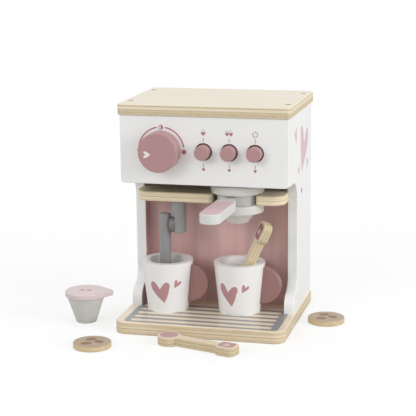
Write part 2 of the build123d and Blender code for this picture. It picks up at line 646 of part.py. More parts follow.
def make_capsule_lid():
    """Drop-shaped lid with a pull tab and a plug that sits in the cup."""
    disc = Circle(LID_RADIUS)
    tab = Pos(LID_TAB_REACH, 0) * Circle(LID_TAB_RADIUS)
    tilt = math.acos((LID_RADIUS - LID_TAB_RADIUS) / LID_TAB_REACH)
    corners = []
    for sign in SIDES:
        direction = (math.cos(tilt), sign * math.sin(tilt))
        near = (LID_RADIUS * direction[0], LID_RADIUS * direction[1])
        far = (LID_TAB_REACH + LID_TAB_RADIUS * direction[0], LID_TAB_RADIUS * direction[1])
        corners.append([near, far])
    web = make_face(Polyline(corners[0][0], corners[0][1], corners[1][1], corners[1][0], close=True))
    lid = extrude(disc + tab + web, LID_THICK)
    rims = lid.faces().sort_by(Axis.Z)[-1].edges() + lid.faces().sort_by(Axis.Z)[0].edges()
    lid = fillet(rims, LACQUER_ROUND)
    lid = Pos(0, 0, CAPSULE_HEIGHT) * lid
    lid = lid + rod_z(0, 0, CAPSULE_HEIGHT - LID_PLUG_DEPTH, CAPSULE_HEIGHT + PLUG_OVERLAP, LID_PLUG_RADIUS)
    return capsule_at(Rot(0, 0, LID_TURN) * lid)


def make_bean_disc(name):
    x, y = DISC_PLACES[name]
    disc = rod_z(x, y, 0, DISC_THICK, DISC_RADIUS)
    return fillet(disc.edges().filter_by(GeomType.CIRCLE), STIRRER_EDGE_ROUND)


# ---------------------------------------------------------------- all nodes
def all_nodes():
    nodes = {
        "base_plate": make_base_plate(),
        "left_side_panel": make_side_panel(-1),
        "right_side_panel": make_side_panel(1),
        "front_panel": make_front_panel(),
        "top_plate": make_top_plate(),
        "shelf_plate": make_shelf_plate(),
        "back_panel": make_back_panel(),
        "rear_cover": make_rear_cover(),
        "rear_battens": Compound(children=[make_cover_batten(side) for side in SIDES]),
        "spring_rail": make_spring_rail(),
        "base_screws": Compound(children=BASE_SCREWS),
        "shelf_screws": Compound(children=SHELF_SCREWS),
        "rail_dowels": Compound(children=RAIL_DOWELS),
        "cover_screws": Compound(children=COVER_SCREWS),
        "top_dowels": Compound(children=TOP_DOWELS),
        "panel_dowels": Compound(children=PANEL_DOWELS),
        "knob": make_knob(),
        "knob_spindle": make_spindle(),
        "knob_washer": make_knob_washer(),
        "filter_collar": make_collar(),
        "filter_neck": make_neck(),
        "filter_flange": make_flange(),
        "filter_basket": make_basket(),
        "filter_handle": make_handle(),
        "filter_handle_inlay": make_inlay(),
        "filter_handle_dowel": make_filter_dowel(),
        "filter_pivot_dowel": make_filter_pivot(),
        "wand_rod": make_wand_rod(),
        "wand_hub": make_wand_hub(),
        "wand_arm": make_wand_arm(),
        "wand_pin": make_wand_pin(),
        "stirrer_in_mug": make_leaning_stirrer(),
        "stirrer_on_table": make_lying_stirrer(),
        "capsule_cup": make_capsule_cup(),
        "capsule_lid": make_capsule_lid(),
    }
    for name, x in zip(BUTTON_NAMES, BUTTON_XS):
        nodes["button_" + name] = make_button(x)
        nodes["button_spring_" + name] = make_button_spring(x)
    for name in MUG_PLACES:
        nodes["mug_" + name] = make_mug(name)
        nodes["mug_handle_" + name] = make_mug_handle(name)
    for name in DISC_PLACES:
        nodes["bean_disc_" + name] = make_bean_disc(name)
    return nodes


os.makedirs("parts", exist_ok=True)
for node_name, shape in all_nodes().items():
    export_step(shape, os.path.join("parts", node_name + ".step"))
    print(node_name, round(shape.volume, 1))
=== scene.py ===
# %% [markdown]
# # A toy coffee maker in birch plywood and lacquer
#
# The machine is a box of lacquered boards held between two clear birch plates. A turned knob and
# three sprung buttons sit in its front board, a filter holder turns in a notch of the shelf, and
# two mugs, two stirrers, a coffee capsule and two bean discs lie loose around it.
#
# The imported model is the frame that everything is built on: its boards and turnings are already in
# their places, in metres, so this lesson is about what makes them look like wood, paint and print.

# %% Load the frame
import math

import bpy
from mathutils import Euler, Matrix, Vector


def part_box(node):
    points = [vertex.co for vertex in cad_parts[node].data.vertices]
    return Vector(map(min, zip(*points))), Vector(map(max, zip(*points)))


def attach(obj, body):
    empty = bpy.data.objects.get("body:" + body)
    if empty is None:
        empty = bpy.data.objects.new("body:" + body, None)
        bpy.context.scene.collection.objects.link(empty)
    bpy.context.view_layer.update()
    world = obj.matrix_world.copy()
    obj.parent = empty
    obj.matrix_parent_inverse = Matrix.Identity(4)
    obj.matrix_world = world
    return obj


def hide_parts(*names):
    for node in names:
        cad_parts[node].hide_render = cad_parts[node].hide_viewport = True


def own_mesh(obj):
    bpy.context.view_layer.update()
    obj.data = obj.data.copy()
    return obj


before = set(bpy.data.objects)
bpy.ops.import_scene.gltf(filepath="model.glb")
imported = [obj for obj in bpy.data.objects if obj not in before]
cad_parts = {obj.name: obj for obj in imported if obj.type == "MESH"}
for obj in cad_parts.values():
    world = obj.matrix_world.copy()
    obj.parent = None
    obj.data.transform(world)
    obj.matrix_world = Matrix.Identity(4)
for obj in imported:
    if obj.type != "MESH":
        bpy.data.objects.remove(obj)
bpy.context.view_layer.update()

MM = 0.001

# %% [markdown]
# ## The view
#
# A long lens far away keeps the boards' edges nearly parallel. The camera's axes are written as a
# turn about the upright axis, a rise above the table and a slight roll, and then set as one matrix,
# which is easier to check than three Euler angles.

# %% Camera
VIEW_TURN = math.radians(14.285)
VIEW_RISE = math.radians(12.466)
VIEW_ROLL = math.radians(-0.575)
CAMERA_PLACE = Vector((344.8, -1385.93, 437.98)) * MM
CAMERA_LENS = 117.15
SENSOR_WIDTH = 36
NEAREST_SEEN, FURTHEST_SEEN = 0.05, 30


def camera_matrix(turn, rise, roll, place):
    back = Vector((math.sin(turn) * math.cos(rise), -math.cos(turn) * math.cos(rise),
                   math.sin(rise)))
    level = Vector((math.cos(turn), math.sin(turn), 0))
    upright = back.cross(level)
    across = level * math.cos(roll) + upright * math.sin(roll)
    above = upright * math.cos(roll) - level * math.sin(roll)
    matrix = Matrix((across, above, back)).transposed().to_4x4()
    matrix.translation = place
    return matrix


scene = bpy.context.scene
camera = bpy.data.objects.new("camera", bpy.data.cameras.new("camera"))
camera.data.lens = CAMERA_LENS
camera.data.sensor_width = SENSOR_WIDTH
camera.data.clip_start = NEAREST_SEEN
camera.data.clip_end = FURTHEST_SEEN
camera.matrix_world = camera_matrix(VIEW_TURN, VIEW_RISE, VIEW_ROLL, CAMERA_PLACE)
scene.collection.objects.link(camera)
scene.camera = camera
scene.view_settings.view_transform = "Standard"
print("camera at", tuple(round(value, 3) for value in camera.location))

# %% [markdown]
# ## Small helpers for node trees
#
# Node trees are easier to read in code when one line makes a node, sets it and wires it. `put`
# takes a node's settings as keywords and its sockets as a dictionary: a socket from another node
# becomes a link, and anything else becomes the socket's own value.

# %% Node helpers
def wire(tree, socket, value):
    if isinstance(value, bpy.types.NodeSocket):
        tree.links.new(value, socket)
    else:
        socket.default_value = value


def put(tree, kind, sockets=None, **settings):
    node = tree.nodes.new(kind)
    for name, value in settings.items():
        setattr(node, name, value)
    for name, value in (sockets or {}).items():
        wire(tree, node.inputs[name], value)
    return node


def calc(tree, operation, first, second=0.0, third=0.0):
    sockets = {0: first, 1: second, 2: third}
    return put(tree, "ShaderNodeMath", sockets, operation=operation).outputs[0]


print("helpers put and calc ready")

# %% [markdown]
# A few steps come back in almost every finish: two colours blended, a value moved from one range
# to another, a cloud of noise, a pattern squeezed along one axis, and a colour made lighter or
# darker. Colours are written from 0 to 255, as on a paint chart, and turned into the linear values
# that shaders use.

# %% Colour and pattern helpers
def blend_colours(tree, amount, first, second, kind="MIX"):
    return put(tree, "ShaderNodeMix", {0: amount, 6: first, 7: second},
               data_type="RGBA", blend_type=kind).outputs[2]


def between(tree, value, low, high, low_out=0.0, high_out=1.0):
    """Value moved from one range to another, and kept inside it."""
    sockets = {0: value, 1: low, 2: high, 3: low_out, 4: high_out}
    return put(tree, "ShaderNodeMapRange", sockets).outputs[0]


def cloud(tree, place, scale, detail=2.0, rough=0.5, twist=0.0):
    sockets = {"Vector": place, "Scale": scale, "Detail": detail, "Roughness": rough,
               "Distortion": twist}
    return put(tree, "ShaderNodeTexNoise", sockets).outputs["Fac"]


def squeezed(tree, place, factors):
    """A place multiplied axis by axis, which squeezes or draws out the pattern laid on it."""
    sockets = {0: place, 1: factors}
    return put(tree, "ShaderNodeVectorMath", sockets, operation="MULTIPLY").outputs[0]


def shaded(tree, colour, level):
    """A colour made lighter or darker by one level."""
    grey = put(tree, "ShaderNodeCombineColor", {0: level, 1: level, 2: level}).outputs[0]
    return blend_colours(tree, 1.0, colour, grey, "MULTIPLY")


def tint(red, green, blue):
    def linear(value):
        share = value / 255
        return share / 12.92 if share <= 0.04045 else ((share + 0.055) / 1.055) ** 2.4
    return (linear(red), linear(green), linear(blue), 1.0)


print("middle grey is", round(tint(128, 128, 128)[0], 3))

# %% [markdown]
# ## The table and the light
#
# A toy is usually shown on a white sweep of paper, which has no horizon. The floor here is a pale
# diffuse plane that also glows for the camera alone: a little near the toy, so that its shadow
# stays, and fully further out. The glow never lights the object, because only camera rays see it,
# and to all other rays the paper is a shade greyer.

# %% White room
ROOM_LEVEL = 0.67
GLOW_NEAR = 0.68
GLOW_FROM, GLOW_FULL = 0.25, 0.75
PAPER_SEEN = tint(255, 255, 255)
PAPER_BOUNCE = tint(206, 205, 203)
PAPER_TOOTH_SCALE = 900.0
WHITE = (1, 1, 1, 1)
FLOOR_HALF = 6.0


def make_room():
    world = bpy.data.worlds.new("pale_room")
    world.use_nodes = True
    scene.world = world
    tree = world.node_tree
    tree.nodes.clear()
    path = put(tree, "ShaderNodeLightPath").outputs
    mirrored = calc(tree, "MAXIMUM", path["Is Glossy Ray"], path["Is Transmission Ray"])
    seen = calc(tree, "MAXIMUM", path["Is Camera Ray"], mirrored)
    soft = put(tree, "ShaderNodeBackground", {"Color": WHITE, "Strength": ROOM_LEVEL})
    bright = put(tree, "ShaderNodeBackground", {"Color": WHITE, "Strength": 1.0})
    mix = put(tree, "ShaderNodeMixShader", {0: seen, 1: soft.outputs[0], 2: bright.outputs[0]})
    put(tree, "ShaderNodeOutputWorld", {"Surface": mix.outputs[0]})


def make_paper():
    paper = bpy.data.materials.new("white_paper")
    paper.use_nodes = True
    tree = paper.node_tree
    tree.nodes.clear()
    spot = put(tree, "ShaderNodeTexCoord").outputs["Object"]
    tooth = cloud(tree, spot, PAPER_TOOTH_SCALE)
    bump = put(tree, "ShaderNodeBump", {"Height": tooth, "Strength": 0.04, "Distance": 0.5 * MM})
    seen = put(tree, "ShaderNodeLightPath").outputs["Is Camera Ray"]
    paint = blend_colours(tree, seen, PAPER_BOUNCE, PAPER_SEEN)
    matt = put(tree, "ShaderNodeBsdfDiffuse", {"Color": paint, "Normal": bump.outputs[0]})
    glow = put(tree, "ShaderNodeEmission", {"Color": WHITE, "Strength": 1.0})
    reach = put(tree, "ShaderNodeVectorMath", {0: spot}, operation="LENGTH").outputs["Value"]
    fade = between(tree, reach, GLOW_FROM, GLOW_FULL, GLOW_NEAR, 1.0)
    share = calc(tree, "MULTIPLY", seen, fade)
    mix = put(tree, "ShaderNodeMixShader", {0: share, 1: matt.outputs[0], 2: glow.outputs[0]})
    put(tree, "ShaderNodeOutputMaterial", {"Surface": mix.outputs[0]})
    return paper


def make_floor():
    mesh = bpy.data.meshes.new("table")
    corners = [(-FLOOR_HALF, -FLOOR_HALF, 0), (FLOOR_HALF, -FLOOR_HALF, 0),
               (FLOOR_HALF, FLOOR_HALF, 0), (-FLOOR_HALF, FLOOR_HALF, 0)]
    mesh.from_pydata(corners, [], [(0, 1, 2, 3)])
    floor = bpy.data.objects.new("table", mesh)
    scene.collection.objects.link(floor)
    mesh.materials.append(make_paper())


make_room()
make_floor()
print("room level", ROOM_LEVEL, "floor glow", GLOW_NEAR)

# %% [markdown]
# Three large soft lamps do the rest. The key lamp stands in front and to the left and draws the
# gentle shadows beside the knob and the buttons. One on the right brightens the side board, the
# right side of the knob and the left wall of the bay, and one overhead lights the top.

# %% Lamps
LAMP_AIM = Vector((0, 0, 0.11))
LAMPS = [("key_lamp", (-1.5, -2.2, 1.4), 1.3, 19.0),
         ("side_lamp", (2.4, -0.6, 0.9), 1.3, 30.0),
         ("top_lamp", (-0.3, 0.2, 2.4), 1.2, 6.5)]


def make_lamp(name, place, size, power):
    light = bpy.data.lights.new(name, "AREA")
    light.shape = "DISK"
    light.size = size
    light.energy = power
    lamp = bpy.data.objects.new(name, light)
    lamp.location = place
    lamp.rotation_euler = (LAMP_AIM - Vector(place)).to_track_quat("-Z", "Y").to_euler()
    scene.collection.objects.link(lamp)


for lamp_row in LAMPS:
    make_lamp(*lamp_row)
print("lamps", [lamp_row[0] for lamp_row in LAMPS])

# %% [markdown]
# ## Effects shared by several finishes
#
# Birch grain is the same wherever it shows, and so is the faint orange peel that a roller leaves in
# lacquer. Each of these is a shader node group, built once and given its own values in every
# material that uses it. A group only puts out colours, masks and heights; the shader itself stays
# in the material.

# %% Group maker
COLOUR, NUMBER, PLACE = "NodeSocketColor", "NodeSocketFloat", "NodeSocketVector"


def new_effect(name, inputs, outputs):
    tree = bpy.data.node_groups.new(name, "ShaderNodeTree")
    for socket, kind, value in inputs:
        made = tree.interface.new_socket(name=socket, in_out="INPUT", socket_type=kind)
        if value is not None:
            made.default_value = value
    for socket, kind in outputs:
        tree.interface.new_socket(name=socket, in_out="OUTPUT", socket_type=kind)
    return tree, put(tree, "NodeGroupInput").outputs, put(tree, "NodeGroupOutput")


def close_effect(tree, end, results):
    for name, socket in results.items():
        wire(tree, end.inputs[name], socket)
    return tree


def use_effect(tree, effect, sockets):
    return put(tree, "ShaderNodeGroup", sockets, node_tree=effect).outputs


print("socket kinds", COLOUR, NUMBER, PLACE)

# %% [markdown]
# ### Grain
#
# Birch has hardly any figure: broad pale bands, finer fibres along them, and short brown flecks.
# Noise squeezed across the grain gives all three at three sizes. The grain runs along the board's
# own X axis.

# %% Wood grain
BAND_SCALE, FIBRE_SCALE, FLECK_SCALE = 6.0, 48.0, 95.0
BAND_WEIGHT, FIBRE_WEIGHT = 1.1, 0.55
FLECK_FROM, FLECK_FULL = 0.66, 0.78


def make_grain():
    tree, start, end = new_effect(
        "wood_grain",
        [("Vector", PLACE, None), ("Pale", COLOUR, (0.8, 0.7, 0.5, 1)),
         ("Warm", COLOUR, (0.7, 0.6, 0.4, 1)), ("Fleck", COLOUR, (0.5, 0.35, 0.2, 1)),
         ("Flecks", NUMBER, 0.4), ("Squeeze", NUMBER, 11.0)],
        [("Color", COLOUR), ("Height", NUMBER)])
    squeeze = start["Squeeze"]
    factors = put(tree, "ShaderNodeCombineXYZ", {0: 1.0, 1: squeeze, 2: squeeze}).outputs[0]
    along = squeezed(tree, start["Vector"], factors)
    bands = cloud(tree, along, BAND_SCALE, 3.0, 0.55, 0.8)
    fibres = cloud(tree, along, FIBRE_SCALE, 3.0, 0.6)
    flecks = between(tree, cloud(tree, along, FLECK_SCALE, 1.0), FLECK_FROM, FLECK_FULL)
    share = calc(tree, "MULTIPLY_ADD", bands, BAND_WEIGHT, -0.15)
    share = calc(tree, "MULTIPLY_ADD", fibres, FIBRE_WEIGHT, calc(tree, "SUBTRACT", share, 0.28))
    share = between(tree, share, 0.0, 1.0)
    colour = blend_colours(tree, share, start["Pale"], start["Warm"])
    flecked = calc(tree, "MULTIPLY", flecks, start["Flecks"])
    colour = blend_colours(tree, flecked, colour, start["Fleck"])
    height = calc(tree, "SUBTRACT", fibres, flecks)
    return close_effect(tree, end, {"Color": colour, "Height": height})


wood_grain = make_grain()
print("effect", wood_grain.name, "nodes", len(wood_grain.nodes))

# %% [markdown]
# ### Plies
#
# Plywood shows its plies on its edges, and a colour that depends on the depth in the board gives
# them. One group gives that depth, with a slight wander because veneers are never quite flat.
# Another paints the crossed plies, which show end grain and so are darker and more open.

# %% Ply effects
WANDER_SCALE = 22.0
PORE_SCALE, STREAK_SCALE = 850.0, 150.0
STREAK_SQUEEZE = (1, 1, 5)
PORE_WEIGHT, STREAK_WEIGHT, END_GRAIN_LEVEL = 0.35, 0.5, 0.6


def make_depth():
    tree, start, end = new_effect(
        "depth_in_board",
        [("Vector", PLACE, None), ("Thickness", NUMBER, 0.012), ("Wander", NUMBER, 0.03)],
        [("Depth", NUMBER)])
    upright = put(tree, "ShaderNodeSeparateXYZ", {0: start["Vector"]}).outputs[2]
    depth = calc(tree, "DIVIDE", upright, start["Thickness"])
    flat = squeezed(tree, start["Vector"], (1, 1, 0))
    wave = calc(tree, "SUBTRACT", cloud(tree, flat, WANDER_SCALE), 0.5)
    depth = calc(tree, "MULTIPLY_ADD", wave, start["Wander"], depth)
    return close_effect(tree, end, {"Depth": depth})


def make_plies():
    tree, start, end = new_effect(
        "crossed_plies",
        [("Vector", PLACE, None), ("Crossed", NUMBER, 0.0), ("Face", COLOUR, (0.8, 0.7, 0.5, 1)),
         ("End grain", COLOUR, (0.5, 0.4, 0.25, 1))],
        [("Color", COLOUR), ("Height", NUMBER)])
    pores = cloud(tree, start["Vector"], PORE_SCALE)
    streaks = cloud(tree, squeezed(tree, start["Vector"], STREAK_SQUEEZE), STREAK_SCALE)
    level = calc(tree, "MULTIPLY_ADD", pores, PORE_WEIGHT, END_GRAIN_LEVEL)
    level = calc(tree, "MULTIPLY_ADD", streaks, STREAK_WEIGHT, level)
    crossed = shaded(tree, start["End grain"], level)
    colour = blend_colours(tree, start["Crossed"], start["Face"], crossed)
    height = calc(tree, "MULTIPLY", calc(tree, "MULTIPLY", pores, -1.0), start["Crossed"])
    return close_effect(tree, end, {"Color": colour, "Height": height})


depth_in_board = make_depth()
crossed_plies = make_plies()
print("effects", depth_in_board.name, crossed_plies.name)

# %% [markdown]
# ### Lacquer and print
#
# Sprayed and rolled lacquer is never one flat colour. It is a little thicker in some places, it has
# a very fine orange peel, and on sharp edges it draws back so that the board shows through as a
# warmer line. The edge mask compares the surface with what a small rounding would give.

# %% Lacquer effects
DRIFT_SCALE, SPECK_SCALE, PEEL_SCALE, EDGE_SCALE = 14.0, 420.0, 700.0, 260.0
SPECK_FROM, SPECK_FULL = 0.70, 0.80
FLAT_FACING, EDGE_FACING = 0.995, 0.86


def make_lacquer():
    tree, start, end = new_effect(
        "lacquer_coat",
        [("Vector", PLACE, None), ("Paint", COLOUR, (0.8, 0.8, 0.8, 1)), ("Mottle", NUMBER, 0.05),
         ("Gloss spread", NUMBER, 0.08), ("Roughness", NUMBER, 0.42)],
        [("Color", COLOUR), ("Roughness", NUMBER), ("Height", NUMBER)])
    drift = calc(tree, "SUBTRACT", cloud(tree, start["Vector"], DRIFT_SCALE, 3.0, 0.6), 0.5)
    specks = cloud(tree, start["Vector"], SPECK_SCALE, 1.0)
    specks = between(tree, specks, SPECK_FROM, SPECK_FULL)
    level = calc(tree, "MULTIPLY_ADD", drift, start["Mottle"], 1.0)
    darker = calc(tree, "MULTIPLY", specks, calc(tree, "MULTIPLY", start["Mottle"], 0.5))
    colour = shaded(tree, start["Paint"], calc(tree, "SUBTRACT", level, darker))
    peel = cloud(tree, start["Vector"], PEEL_SCALE)
    rough = calc(tree, "MULTIPLY_ADD", drift, start["Gloss spread"], start["Roughness"])
    return close_effect(tree, end, {"Color": colour, "Roughness": rough, "Height": peel})


def make_thin_edge():
    tree, start, end = new_effect(
        "thin_edge", [("Reach", NUMBER, 0.0006), ("Vector", PLACE, None)], [("Mask", NUMBER)])
    rounded = put(tree, "ShaderNodeBevel", {"Radius": start["Reach"]}, samples=4).outputs[0]
    surface = put(tree, "ShaderNodeNewGeometry").outputs["Normal"]
    facing = put(tree, "ShaderNodeVectorMath", {0: rounded, 1: surface}, operation="DOT_PRODUCT")
    edge = between(tree, facing.outputs["Value"], FLAT_FACING, EDGE_FACING)
    uneven = between(tree, cloud(tree, start["Vector"], EDGE_SCALE), 0.35, 0.65)
    return close_effect(tree, end, {"Mask": calc(tree, "MULTIPLY", edge, uneven)})


lacquer_coat = make_lacquer()
thin_edge = make_thin_edge()
print("effects", lacquer_coat.name, thin_edge.name)

# %% [markdown]
# ## Finishes
#
# Every finish starts the same way: a Principled shader, an output, and the object's own coordinates
# to lay the pattern on. Because a finished piece stays at the origin with its place in its mesh,
# those coordinates are simply metres in the machine's frame.

# %% Finish maker
def new_finish(name, shader_values=None):
    finish = bpy.data.materials.new(name)
    finish.use_nodes = True
    tree = finish.node_tree
    tree.nodes.clear()
    shader = put(tree, "ShaderNodeBsdfPrincipled", shader_values)
    put(tree, "ShaderNodeOutputMaterial", {"Surface": shader.outputs[0]})
    return finish, tree, shader, put(tree, "ShaderNodeTexCoord").outputs["Object"]


def feed(tree, shader, colour, roughness, height, strength, distance):
    bump = put(tree, "ShaderNodeBump",
               {"Height": height, "Strength": strength, "Distance": distance})
    wire(tree, shader.inputs["Base Color"], colour)
    wire(tree, shader.inputs["Normal"], bump.outputs[0])
    wire(tree, shader.inputs["Roughness"], roughness)


print("finish maker ready")

# %% [markdown]
# ### Clear birch plywood
#
# The base, the top and the shelf are clear-lacquered birch plywood, and so are the stirrers. Each
# board gets the same recipe in its own place: a Mapping node turned to the board moves the pattern
# into the board's own axes, so grain runs along it and plies lie flat in it even where the board
# leans. The stops of the ramp are the depths at which one ply meets the next, each with how much
# end grain that ply shows. Plies and the tone of a sawn edge are kept to the edges by the surface's
# own direction, because a rounded rim would otherwise show rings.

# %% Birch
BIRCH_PALE = tint(232, 220, 196)
BIRCH_WARM = tint(224, 208, 178)
BIRCH_FLECK = tint(198, 174, 138)
BIRCH_FLECKS = 0.35
BIRCH_END_GRAIN = tint(200, 183, 152)
BIRCH_ROUGH, BIRCH_SHEEN = 0.52, 0.35
SAWN_EDGE = tint(252, 250, 242)
FACE_UNTIL, EDGE_FROM = 0.9, 0.5
CLEAR_COAT_ROUGH = 0.16


def sawn_share(tree, turn):
    """How far a surface is from lying along its board's faces: 0 on a face, 1 on a sawn edge."""
    upright = Euler(turn).to_matrix() @ Vector((0, 0, 1))
    facing = put(tree, "ShaderNodeTexCoord").outputs["Normal"]
    along = put(tree, "ShaderNodeVectorMath", {0: facing, 1: tuple(upright)},
                operation="DOT_PRODUCT").outputs["Value"]
    return between(tree, calc(tree, "ABSOLUTE", along), FACE_UNTIL, EDGE_FROM)


def ply_ramp(tree, depth, plies):
    ramp = put(tree, "ShaderNodeValToRGB", {0: depth})
    ramp.color_ramp.interpolation = "CONSTANT"
    stops = ramp.color_ramp.elements
    while len(stops) > 1:
        stops.remove(stops[-1])
    for index, (position, share) in enumerate(plies):
        stop = stops[0] if index == 0 else stops.new(position)
        stop.position, stop.color = position, (share, share, share, 1)
    return ramp.outputs[0]


def birch(name, place, turn, thickness, plies, pale=BIRCH_PALE, warm=BIRCH_WARM, wander=0.05,
          coat=0.0, end_grain=BIRCH_END_GRAIN):
    finish, tree, shader, spot = new_finish(
        name, {"Specular IOR Level": BIRCH_SHEEN, "Coat Weight": coat,
               "Coat Roughness": CLEAR_COAT_ROUGH})
    board = put(tree, "ShaderNodeMapping", {"Vector": spot, "Location": place, "Rotation": turn},
                vector_type="TEXTURE").outputs[0]
    grain = use_effect(tree, wood_grain, {"Vector": board, "Pale": pale, "Warm": warm,
                                          "Fleck": BIRCH_FLECK, "Flecks": BIRCH_FLECKS})
    depth = use_effect(tree, depth_in_board,
                       {"Vector": board, "Thickness": thickness, "Wander": wander})["Depth"]
    sawn = sawn_share(tree, turn)
    crossed = calc(tree, "MULTIPLY", ply_ramp(tree, depth, plies), sawn)
    cut = use_effect(tree, crossed_plies, {"Vector": board, "Crossed": crossed,
                                           "Face": grain["Color"], "End grain": end_grain})
    edge = blend_colours(tree, 1.0, cut["Color"], SAWN_EDGE, "MULTIPLY")
    colour = blend_colours(tree, sawn, cut["Color"], edge)
    height = calc(tree, "ADD", grain["Height"], cut["Height"])
    feed(tree, shader, colour, BIRCH_ROUGH, height, strength=0.12, distance=0.3 * MM)
    return finish


print("birch recipe ready")

# %% [markdown]
# The three boards of the machine lie level, so a board's place is only the height of its underside.
# Each has its own plies, from the underside up, and its own tone.

# %% Birch boards
LEVEL = (0.0, 0.0, 0.0)
PLIES_BASE = [(0.0, 0.45), (0.3, 0.0), (0.41, 1.4), (0.49, 0.0), (0.66, 0.5), (0.92, 0.2)]
PLIES_TOP = [(0.0, 0.4), (0.1, 0.75), (0.22, 1.0), (0.32, 0.6), (0.44, 0.85), (0.55, 0.0),
             (0.78, 1.0), (0.88, 0.1)]
PLIES_SHELF = [(0.0, 0.5), (0.12, 0.1), (0.26, 0.0), (0.42, 1.2), (0.5, 0.0), (0.62, 0.25),
               (0.74, 0.0), (0.88, 0.9)]


def birch_for(name, node, plies, pale, warm, coat=0.0):
    low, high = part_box(node)
    return birch(name, (0, 0, low.z), LEVEL, high.z - low.z, plies, pale, warm, coat=coat)


birch_base = birch_for("birch_base", "base_plate", PLIES_BASE, tint(238, 224, 202),
                       tint(226, 206, 180), coat=0.5)
birch_top = birch_for("birch_top", "top_plate", PLIES_TOP, tint(236, 229, 214),
                      tint(229, 219, 200))
birch_shelf = birch_for("birch_shelf", "shelf_plate", PLIES_SHELF, tint(240, 228, 206),
                        tint(230, 214, 188))
print("birch", birch_base.name, birch_top.name, birch_shelf.name)

# %% [markdown]
# The stirrers are sawn from the same plywood. One lies on the table, turned a little, and the other
# leans in the right mug, so their boards' axes are worked out first and used again for their
# prints.

# %% Stirrer boards
STIRRER_THICK = 9.6 * MM
PLIES_STIRRER = [(0.0, 0.4), (0.25, 1.3), (0.38, 0.4), (0.62, 1.3), (0.75, 0.4)]
LYING_PLACE = Vector((-24.6, -102.8, 0)) * MM
LYING_TURN = math.radians(-16.5)
LEAN_TIP = Vector((61.9, -20.3, 112.4)) * MM
LEAN_ALONG = Vector((0.410, 0.013, 0.912)).normalized()
LEAN_ROLL = math.radians(29.7)
STIRRER_REACH = 79.8 * MM

sideways = Vector((math.sin(LEAN_ROLL), -math.cos(LEAN_ROLL), 0))
label_out = -LEAN_ALONG.cross(sideways).normalized()
leaning_axes = Matrix((LEAN_ALONG, label_out.cross(LEAN_ALONG), label_out)).transposed()
leaning_turn = leaning_axes.to_euler()
leaning_place = LEAN_TIP - LEAN_ALONG * STIRRER_REACH - label_out * STIRRER_THICK / 2

birch_lying = birch("birch_lying", LYING_PLACE, (0, 0, LYING_TURN), STIRRER_THICK, PLIES_STIRRER)
birch_leaning = birch("birch_leaning", leaning_place, leaning_turn, STIRRER_THICK, PLIES_STIRRER)
print("leaning stirrer turned", [round(math.degrees(angle), 1) for angle in leaning_turn])

# %% [markdown]
# The bean discs are cut from a darker, browner plywood, and the dowels and battens are solid wood
# with upright grain.

# %% Other woods
UPRIGHT_GRAIN = (0.0, math.radians(90), 0.0)
DISC_TURN = (0, 0, math.radians(-12))
PLIES_DISC = [(0.0, 0.9), (0.3, 1.0), (0.72, 0.8)]


def solid_wood(name, pale, warm, fleck, flecks, squeeze, rough):
    finish, tree, shader, spot = new_finish(name)
    board = put(tree, "ShaderNodeMapping", {"Vector": spot, "Rotation": UPRIGHT_GRAIN},
                vector_type="TEXTURE").outputs[0]
    grain = use_effect(tree, wood_grain, {"Vector": board, "Pale": pale, "Warm": warm,
                                          "Fleck": fleck, "Flecks": flecks, "Squeeze": squeeze})
    feed(tree, shader, grain["Color"], rough, grain["Height"], strength=0.15, distance=0.3 * MM)
    return finish


disc_low, disc_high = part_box("bean_disc_left")
disc_wood = birch("disc_wood", (0, 0, 0), DISC_TURN, disc_high.z - disc_low.z, PLIES_DISC,
                  tint(186, 167, 146), tint(168, 148, 126), wander=0.04,
                  end_grain=tint(216, 196, 164))
dowel_wood = solid_wood("dowel_wood", tint(176, 148, 108), tint(150, 118, 80), tint(110, 80, 50),
                        flecks=0.5, squeeze=4.0, rough=0.6)
beech = solid_wood("beech", tint(222, 190, 150), tint(206, 170, 128), tint(150, 108, 70),
                   flecks=0.8, squeeze=9.0, rough=0.55)
print("woods", disc_wood.name, dowel_wood.name, beech.name)

# %% [markdown]
# ### Lacquers
#
# The boards, turnings and mugs are lacquered in white, dusty rose, pale rose, a warm light grey and
# a mid grey. One recipe serves them all. What differs is the paint, how much it mottles and how
# shiny it dries. The back board of the bay takes a rose lighter than the knob's, painted light for
# the shaded bay, with soft upright light and dark streaks that are painted reflections and painted
# shade. The side boards are rose inside the bay and white everywhere else.

# %% Lacquer recipe
BOARD_UNDER = tint(226, 214, 196)
BAY_HALF_WIDTH = 79.3 * MM
BAY_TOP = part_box("shelf_plate")[0].z
# Soft upright streaks for the back board: painted reflections and painted shade.
REFLECTION_STREAK_SCALE = 42.0
REFLECTION_STREAK_SQUEEZE = (1, 1, 0.06)
EDGE_REACH = 0.6 * MM
LACQUER_SHEEN = 0.4


def with_painted_reflections(tree, spot, paint, amount):
    """Paint with soft upright light and dark streaks: painted reflections and painted shade."""
    streaks = cloud(tree, squeezed(tree, spot, REFLECTION_STREAK_SQUEEZE), REFLECTION_STREAK_SCALE, 2.0, 0.6)
    level = calc(tree, "MULTIPLY_ADD", calc(tree, "SUBTRACT", streaks, 0.5), amount, 1.0)
    return shaded(tree, paint, level)


def inside_bay(tree, spot, outside, inside):
    """One paint outside, another on a side board's inner face from the base up to the shelf."""
    place = put(tree, "ShaderNodeSeparateXYZ", {0: spot}).outputs
    inner = calc(tree, "LESS_THAN", calc(tree, "ABSOLUTE", place[0]), BAY_HALF_WIDTH)
    low = calc(tree, "LESS_THAN", place[2], BAY_TOP)
    return blend_colours(tree, calc(tree, "MULTIPLY", inner, low), outside, inside)


